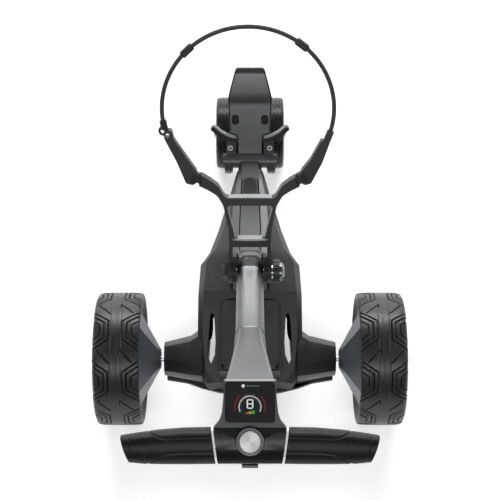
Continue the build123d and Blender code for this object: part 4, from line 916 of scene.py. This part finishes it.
bars("gauge_scale", [arc_band(*GC, 14.3, 15.9, a, a + 5.2, 4) for a in range(-24, 202, 8)], LIT_WHITE)
bars("gauge_ticks", [arc_band(*GC, 11.9, 12.6, a, a + 2.2, 1) for a in range(-24, 204, 8)]
     + [arc_band(*GC, 17.6, 18.5, a, a + 2.0, 2) for a in range(66, 118, 8)], LIT_GREY)
bars("gauge_red", [arc_band(*GC, 20.0, 22.2, a, a + 5.5, 4) for a in list(range(-20, 44, 8)) + list(range(131, 195, 8))], LIT_RED)
# seven-segment figure eight
bars("gauge_digit", [
    rect(-3.1, 3.1, 56.6, 58.2), rect(-3.1, 3.1, 45.0, 46.6), rect(-3.0, 3.0, 51.0, 52.5),
    rect(-4.6, -2.8, 46.0, 57.4), rect(2.8, 4.6, 46.0, 57.4)], LIT_WHITE)
bars("gauge_bar_red", [rect(-6.4, -4.4, 38.0, 39.6)], LIT_RED2)
bars("gauge_bar_orange", [rect(-3.8, -1.8, 38.0, 40.4)], LIT_ORANGE)
bars("gauge_bar_yellow", [rect(-1.2, 0.8, 38.0, 41.2)], LIT_YELLOW)
bars("gauge_bar_green", [rect(1.4, 3.4, 38.0, 42.0), rect(4.0, 6.4, 38.0, 42.8)], LIT_GREEN)
disc = [(-9.5 + 2.3 * math.cos(math.radians(a)), 76.5 + 2.3 * math.sin(math.radians(a))) for a in range(0, 360, 15)]
bars("status_mark", [disc], LIT_WHITE)
bars("status_bars", [rect(-4.6 + 2.6 * k, -3.0 + 2.6 * k, 75.6, 77.2) for k in range(7)], LIT_GREY)


# -------------------------------------------------------------------- strap
HOOP_C, HOOP_R = (-3.5, 313.5), 149.0
CLIP_L, CLIP_R, END_L, END_R = 134.0, 52.0, 190.5, -19.6


def hoop_pt(a):
    t = math.radians(a)
    return HOOP_C[0] + HOOP_R * math.cos(t), HOOP_C[1] + HOOP_R * math.sin(t)


def cord_tube(name, a0, a1, body, r=4.0, n=None, ripple=0.0):
    """Strap cord along the hoop between two angles."""
    n = n or int(abs(a1 - a0) * 1.6) + 8
    m = 28
    v, al, ro = [], [], []
    for i in range(n + 1):
        a = a0 + (a1 - a0) * i / n
        t = math.radians(a)
        cx, cy = hoop_pt(a)
        out = (math.cos(t), math.sin(t))
        for j in range(m):
            p = 2 * math.pi * j / m
            rr = r - 0.06
            v.append(crp(cx + out[0] * rr * math.cos(p), cy + out[1] * rr * math.cos(p), rr * math.sin(p)))
            al.append(math.radians(a) * HOOP_R * 1e-3)
            ro.append(p)
    f = grid_faces(n + 1, m, wrap_v=True)
    f.append(tuple(range(m)))
    f.append(tuple(range(n * m, n * m + m)))
    o = piece(name, np.array(v), f, body, CORD, attrs={"along": al, "round": ro}, sharp=60)
    return outward(o)


top = cord_tube("strap_cord_top", CLIP_R + 0.6, CLIP_L - 0.6, "cradle")
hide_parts("strap_top")
for nm, a0, a1, arm in (("left", CLIP_L + 0.6, END_L, "arm_left"), ("right", CLIP_R - 0.6, END_R, "arm_right")):
    o = cord_tube("strap_cord_" + nm, a0, a1, None)
    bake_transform(o)
    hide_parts("strap_" + nm)

# ------------------------------------------------------------------ details
def slab(name, outline, frame_pt, h0, h1, body, mat, sharp=35):
    """Closed plate between two heights of a plane, from an outline of (x, l) points."""
    n = len(outline)
    v = [frame_pt(x, l, h0) for x, l in outline] + [frame_pt(x, l, h1) for x, l in outline]
    f = [tuple(range(n))[::-1], tuple(range(n, 2 * n))] + [(i, (i + 1) % n, n + (i + 1) % n, n + i) for i in range(n)]
    return outward(piece(name, np.array(v), f, body, mat, smooth=False))


def bow(w, l, sag, thick, n=24):
    """Outline of a shallow bow of half width w."""
    up = [(-w + 2 * w * k / n, l + thick - sag * (1 - (2 * k / n - 1) ** 2)) for k in range(n + 1)]
    dn = [(-w + 2 * w * k / n, l - sag * (1 - (2 * k / n - 1) ** 2)) for k in range(n + 1)]
    return up + dn[::-1]


# pale strip along the top edge of the cradle's bar: a painted highlight on that edge
bar_edge_highlight_strip = slab("bar_edge_highlight", bow(38.0, 149.25, -0.4, 1.7), crp, 6.4, 8.0, "cradle", PAD)
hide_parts("cradle_pads")
slab("pad_window", bow(31.0, 68.3, 1.5, 2.4), crp, 7.6, 9.6, "cradle", PAD)

# the seal between the battery and its tray
def well_line(x, y0, y1, c):
    return [(x - c, y0), (x, y0 + c), (x, 42.0), (x, y1 - c), (x - c, y1), (-x + c, y1), (-x, y1 - c), (-x, 42.0), (-x, y0 + c), (-x + c, y0)]


def seal_z(y):
    return max(196.1, 200.6 + (y - 52.2) * 0.505)


def seal():
    """Seal that follows the slope of the deck round the battery."""
    inn, out = well_line(58.35, -46.35, 92.35, 10.1), well_line(61.05, -49.05, 95.05, 0.4)
    n = len(inn)
    v = [(x, y, 150.0) for x, y in inn] + [(x, y, seal_z(y)) for x, y in inn] + [(x, y, 150.0) for x, y in out] + [(x, y, seal_z(y)) for x, y in out]
    f = []
    for i in range(n):
        j = (i + 1) % n
        f += [(i, n + i, n + j, j), (2 * n + i, 2 * n + j, 3 * n + j, 3 * n + i), (n + i, 3 * n + i, 3 * n + j, n + j), (i, j, 2 * n + j, 2 * n + i)]
    outward(piece("battery_seal", np.array(v, float), f, BODY["deck_shell"], SHELL, smooth=False))


seal()

# matt black sheets under the front half of the hand-hold slots: painted shade inside the slots
SLOT_SHADE_OUTLINE = [(75.5, 104), (75.4, 62), (76.4, 49), (78.6, 39), (84, 33), (93, 31), (93, 104)]
for nm, sg in (("right", 1), ("left", -1)):
    n_ = len(SLOT_SHADE_OUTLINE)
    vv = [(sg * x, y, z) for z in (148.0, 150.0) for x, y in SLOT_SHADE_OUTLINE]
    ff = [tuple(range(n_))[::-1], tuple(range(n_, 2 * n_))] + [(i, (i + 1) % n_, n_ + (i + 1) % n_, n_ + i) for i in range(n_)]
    outward(piece("slot_painted_shade_" + nm, np.array(vv, float), ff, BODY["deck_shell"], MATTE, smooth=False))

# face of the release button inside its black frame
v_ = [(x, y, z) for z in (490.0, 490.9) for x, y in ((-50.2, 31.6), (-44.4, 31.6), (-44.4, 48.4), (-50.2, 48.4))]
outward(piece("button_face", np.array(v_, float), [(3, 2, 1, 0), (4, 5, 6, 7), (0, 1, 5, 4), (1, 2, 6, 5), (2, 3, 7, 6), (3, 0, 4, 7)], BODY["release_button"], BUTTON, smooth=False))


def ridge_pt(x, y, h):
    """Point over the spine's ridge: h square to it."""
    nz = 365 / math.hypot(365, 263)
    ny = 263 / math.hypot(365, 263)
    return (x, y + h * ny, 430 - 263 * (y - 75) / 365 + h * nz)


def ridge_half(y):
    return float(np.interp(y, [98, 120, 200, 300, 370, 414], [21, 22, 22.5, 20.5, 18.5, 17]))


# dark joint lines on both edges of the ridge
for nm, sg in (("right", 1), ("left", -1)):
    ys_ = [124, 160, 200, 250, 300, 340, 372]
    line_ = [(sg * (ridge_half(y) - 3.2), y) for y in ys_] + [(sg * (ridge_half(y) - 0.9), y) for y in ys_[::-1]]
    slab("ridge_line_" + nm, line_, ridge_pt, -0.15, 0.22, BODY["spine_beam"], MATTE)
# black plate over the ridge by the hinge: painted shadow by the knuckle
slab("hinge_painted_shadow", [(-20.4, 99.5), (20.4, 99.5), (21.4, 123), (-21.4, 123)], ridge_pt, -0.2, 0.30, BODY["spine_beam"], BLACK)
inlay_ = [(-15.6, 318), (-13.0, 366), (-11.0, 370), (11.0, 370), (13.0, 366), (15.6, 318)]
o_ = slab("spine_inlay_face", inlay_, ridge_pt, -0.2, 0.45, BODY["spine_inlay"], BLACK)
rim_ = [(-16.6, 318), (-13.9, 366.6), (-11.5, 371.2), (11.5, 371.2), (13.9, 366.6), (16.6, 318)]
slab("spine_inlay_rim", rim_, ridge_pt, -0.2, 0.22, BODY["spine_inlay"], CASTING)

# matt black sheets beside the plate's neck, painted shade in the gaps there, and the dark seam round the plate
for nm, sg in (("right", 1), ("left", -1)):
    slab("neck_painted_shade_" + nm, [(sg * 24.0, 14), (sg * 29.4, 14), (sg * 29.4, 50), (sg * 24.0, 50)], frp, -7.4, -5.6, BODY["base_plate"], MATTE)

# tube of radius r along a line of points
def rod(name, pts, r, body, mat, m=12):
    pts = [np.array(q, float) for q in pts]
    v, rows = [], len(pts)
    for i, q in enumerate(pts):
        tg = pts[min(i + 1, rows - 1)] - pts[max(i - 1, 0)]
        tg /= np.linalg.norm(tg)
        a = np.cross(tg, (0, 0.36, 0.93))
        a /= np.linalg.norm(a)
        b_ = np.cross(tg, a)
        for k in range(m):
            u = 2 * math.pi * k / m
            v.append(q + (a * math.cos(u) + b_ * math.sin(u)) * r)
    f = grid_faces(rows, m, False, True)
    f += [tuple(range(m)), tuple(range((rows - 1) * m, rows * m))]
    return outward(piece(name, np.array(v), f, body, mat))


def plate_h(l):
    return float(np.interp(l, [41, 121, 129, 137, 144, 152, 161, 200, 209, 214], [0, 0, 2.2, 7.4, 12, 14, 14.2, 9, 12, 18]))


seam_ = [(41.6, 68), (44.4, 118), (44.4, 150), (40.0, 169), (29.3, 208)]
for nm, sg in (("right", 1), ("left", -1)):
    ls_ = np.linspace(68, 208, 48)
    xs_ = np.interp(ls_, [q[1] for q in seam_], [q[0] for q in seam_])
    rod("plate_seam_" + nm, [frp(sg * x, l, plate_h(l) + 0.1) for x, l in zip(xs_, ls_)], 0.9, BODY["base_plate"], MATTE, 8)
def holed(name, sg, rect, r, h0, h1, mat, rim=0.0, n=32):
    """Plate on the lug round the anchor hole: out to a rectangle, or to a rim radius."""
    inn, out = [], []
    for q in range(n):
        a = 2 * math.pi * q / n
        c, d = math.cos(a), math.sin(a)
        inn.append((42.5 + r * c, HOLE_L + r * d))
        if rect is None:
            reach = rim
        else:
            reach = min(((rect[1] if c > 0 else rect[0]) - 42.5) / c if abs(c) > 1e-6 else 99, ((rect[3] if d > 0 else rect[2]) - HOLE_L) / d if abs(d) > 1e-6 else 99)
        out.append((42.5 + reach * c, HOLE_L + reach * d))
    v = [frp(sg * x, l, h) for ring_ in (inn, out) for h in (h0, h1) for x, l in ring_]
    f = []
    for i in range(n):
        j = (i + 1) % n
        f += [(i, n + i, n + j, j), (2 * n + i, 2 * n + j, 3 * n + j, 3 * n + i), (n + i, 3 * n + i, 3 * n + j, n + j), (i, j, 2 * n + j, 2 * n + i)]
    outward(piece(name, np.array(v), f, BODY["front_yoke"], mat, smooth=False))


# the anchor hole's place along the front plane, from its centre in the row frame
HOLE_L = (0.38139 * 1e3 - YS - 452) * SY + (0.16984 * 1e3 - 150) * SZ
# matt black discs at the barrel's seams, painted shade in the gaps between its sleeves
for nm, sg in (("right", 1), ("left", -1)):
    rod("barrel_seam_painted_shade_" + nm, [(sg * x, 452, 150) for x in (33.42, 33.6, 33.8)], 14.0, BODY["spine_beam"], MATTE, 32)
for nm, sg in (("right", 1), ("left", -1)):
    # the strap anchor's hole stays open through the pad and its eyelet
    holed("lug_pad_" + nm, sg, (36.4, 47.5, 25.5, 38.0), 3.6, 1.9, 2.5, CASTING)
    holed("lug_eyelet_" + nm, sg, None, 3.5, 2.3, 3.2, CHROME, 5.4)

# ------------------------------------------------------------------- stage
def stage():
    me = bpy.data.meshes.new("floor")
    s = 6.0
    me.from_pydata([(-s, -s, 0), (s, -s, 0), (s, s, 0), (-s, s, 0)], [], [(0, 1, 2, 3)])
    m, t, b = tree("pale_floor")
    n = noise(t, coords(t), 3, 2)
    t.links.new(mix(t, val(t, n, 0.3, 0.7, 0, 1), (0.86, 0.86, 0.86), (0.875, 0.875, 0.875)), b.inputs["Base Color"])
    b.inputs["Roughness"].default_value = 0.9
    b.inputs["Specular IOR Level"].default_value = 0.1
    b.inputs["Emission Color"].default_value = (1, 1, 1, 1)
    b.inputs["Emission Strength"].default_value = 0.34
    me.materials.append(m)
    o = bpy.data.objects.new("floor", me)
    bpy.context.scene.collection.objects.link(o)


stage()


def area(name, loc, target, size, power, size_y=None, col=(1, 1, 1)):
    l = bpy.data.lights.new(name, "AREA")
    l.energy = power
    l.size = size
    if size_y:
        l.shape = "RECTANGLE"
        l.size_y = size_y
    l.color = col
    o = bpy.data.objects.new(name, l)
    bpy.context.scene.collection.objects.link(o)
    o.location = loc
    o.rotation_euler = (Vector(target) - Vector(loc)).to_track_quat("-Z", "Y").to_euler()
    return o


# A tall bank behind and above the camera lights the floor, a low one in front
# rims the upper edges, and two slim ones at the sides draw the long highlights.
area("bank_rear", (0.0, -2.5, 3.25), (0, 0.0, 0.2), 3.0, 66, 0.6)
area("bank_front", (0.0, 2.9, 2.3), (0, 0.1, 0.2), 3.2, 135, 0.7)
area("bank_low", (0.0, 4.0, 0.62), (0, 0.0, 0.3), 6.0, 60, 0.9)
area("bank_left", (-2.8, 0.3, 1.9), (0, 0.1, 0.2), 0.8, 24, 2.4)
area("bank_right", (2.8, 0.3, 1.9), (0, 0.1, 0.2), 0.8, 24, 2.4)

w = bpy.data.worlds.new("studio")
bpy.context.scene.world = w
w.use_nodes = True
bg = w.node_tree.nodes.get("Background") or w.node_tree.nodes.new("ShaderNodeBackground")
bg.inputs["Color"].default_value = (1, 1, 1, 1)
bg.inputs["Strength"].default_value = 0.13

bpy.context.scene.view_settings.view_transform = "Standard"

cam = bpy.data.cameras.new("camera")
cam.lens = 99.94
cam.sensor_width = 36
cam.clip_end = 50
co = bpy.data.objects.new("camera", cam)
bpy.context.scene.collection.objects.link(co)
co.location = (0.0, -0.997 + YS * 1e-3, 2.798)
co.rotation_euler = (math.radians(25), 0, 0)
bpy.context.scene.camera = co

import json
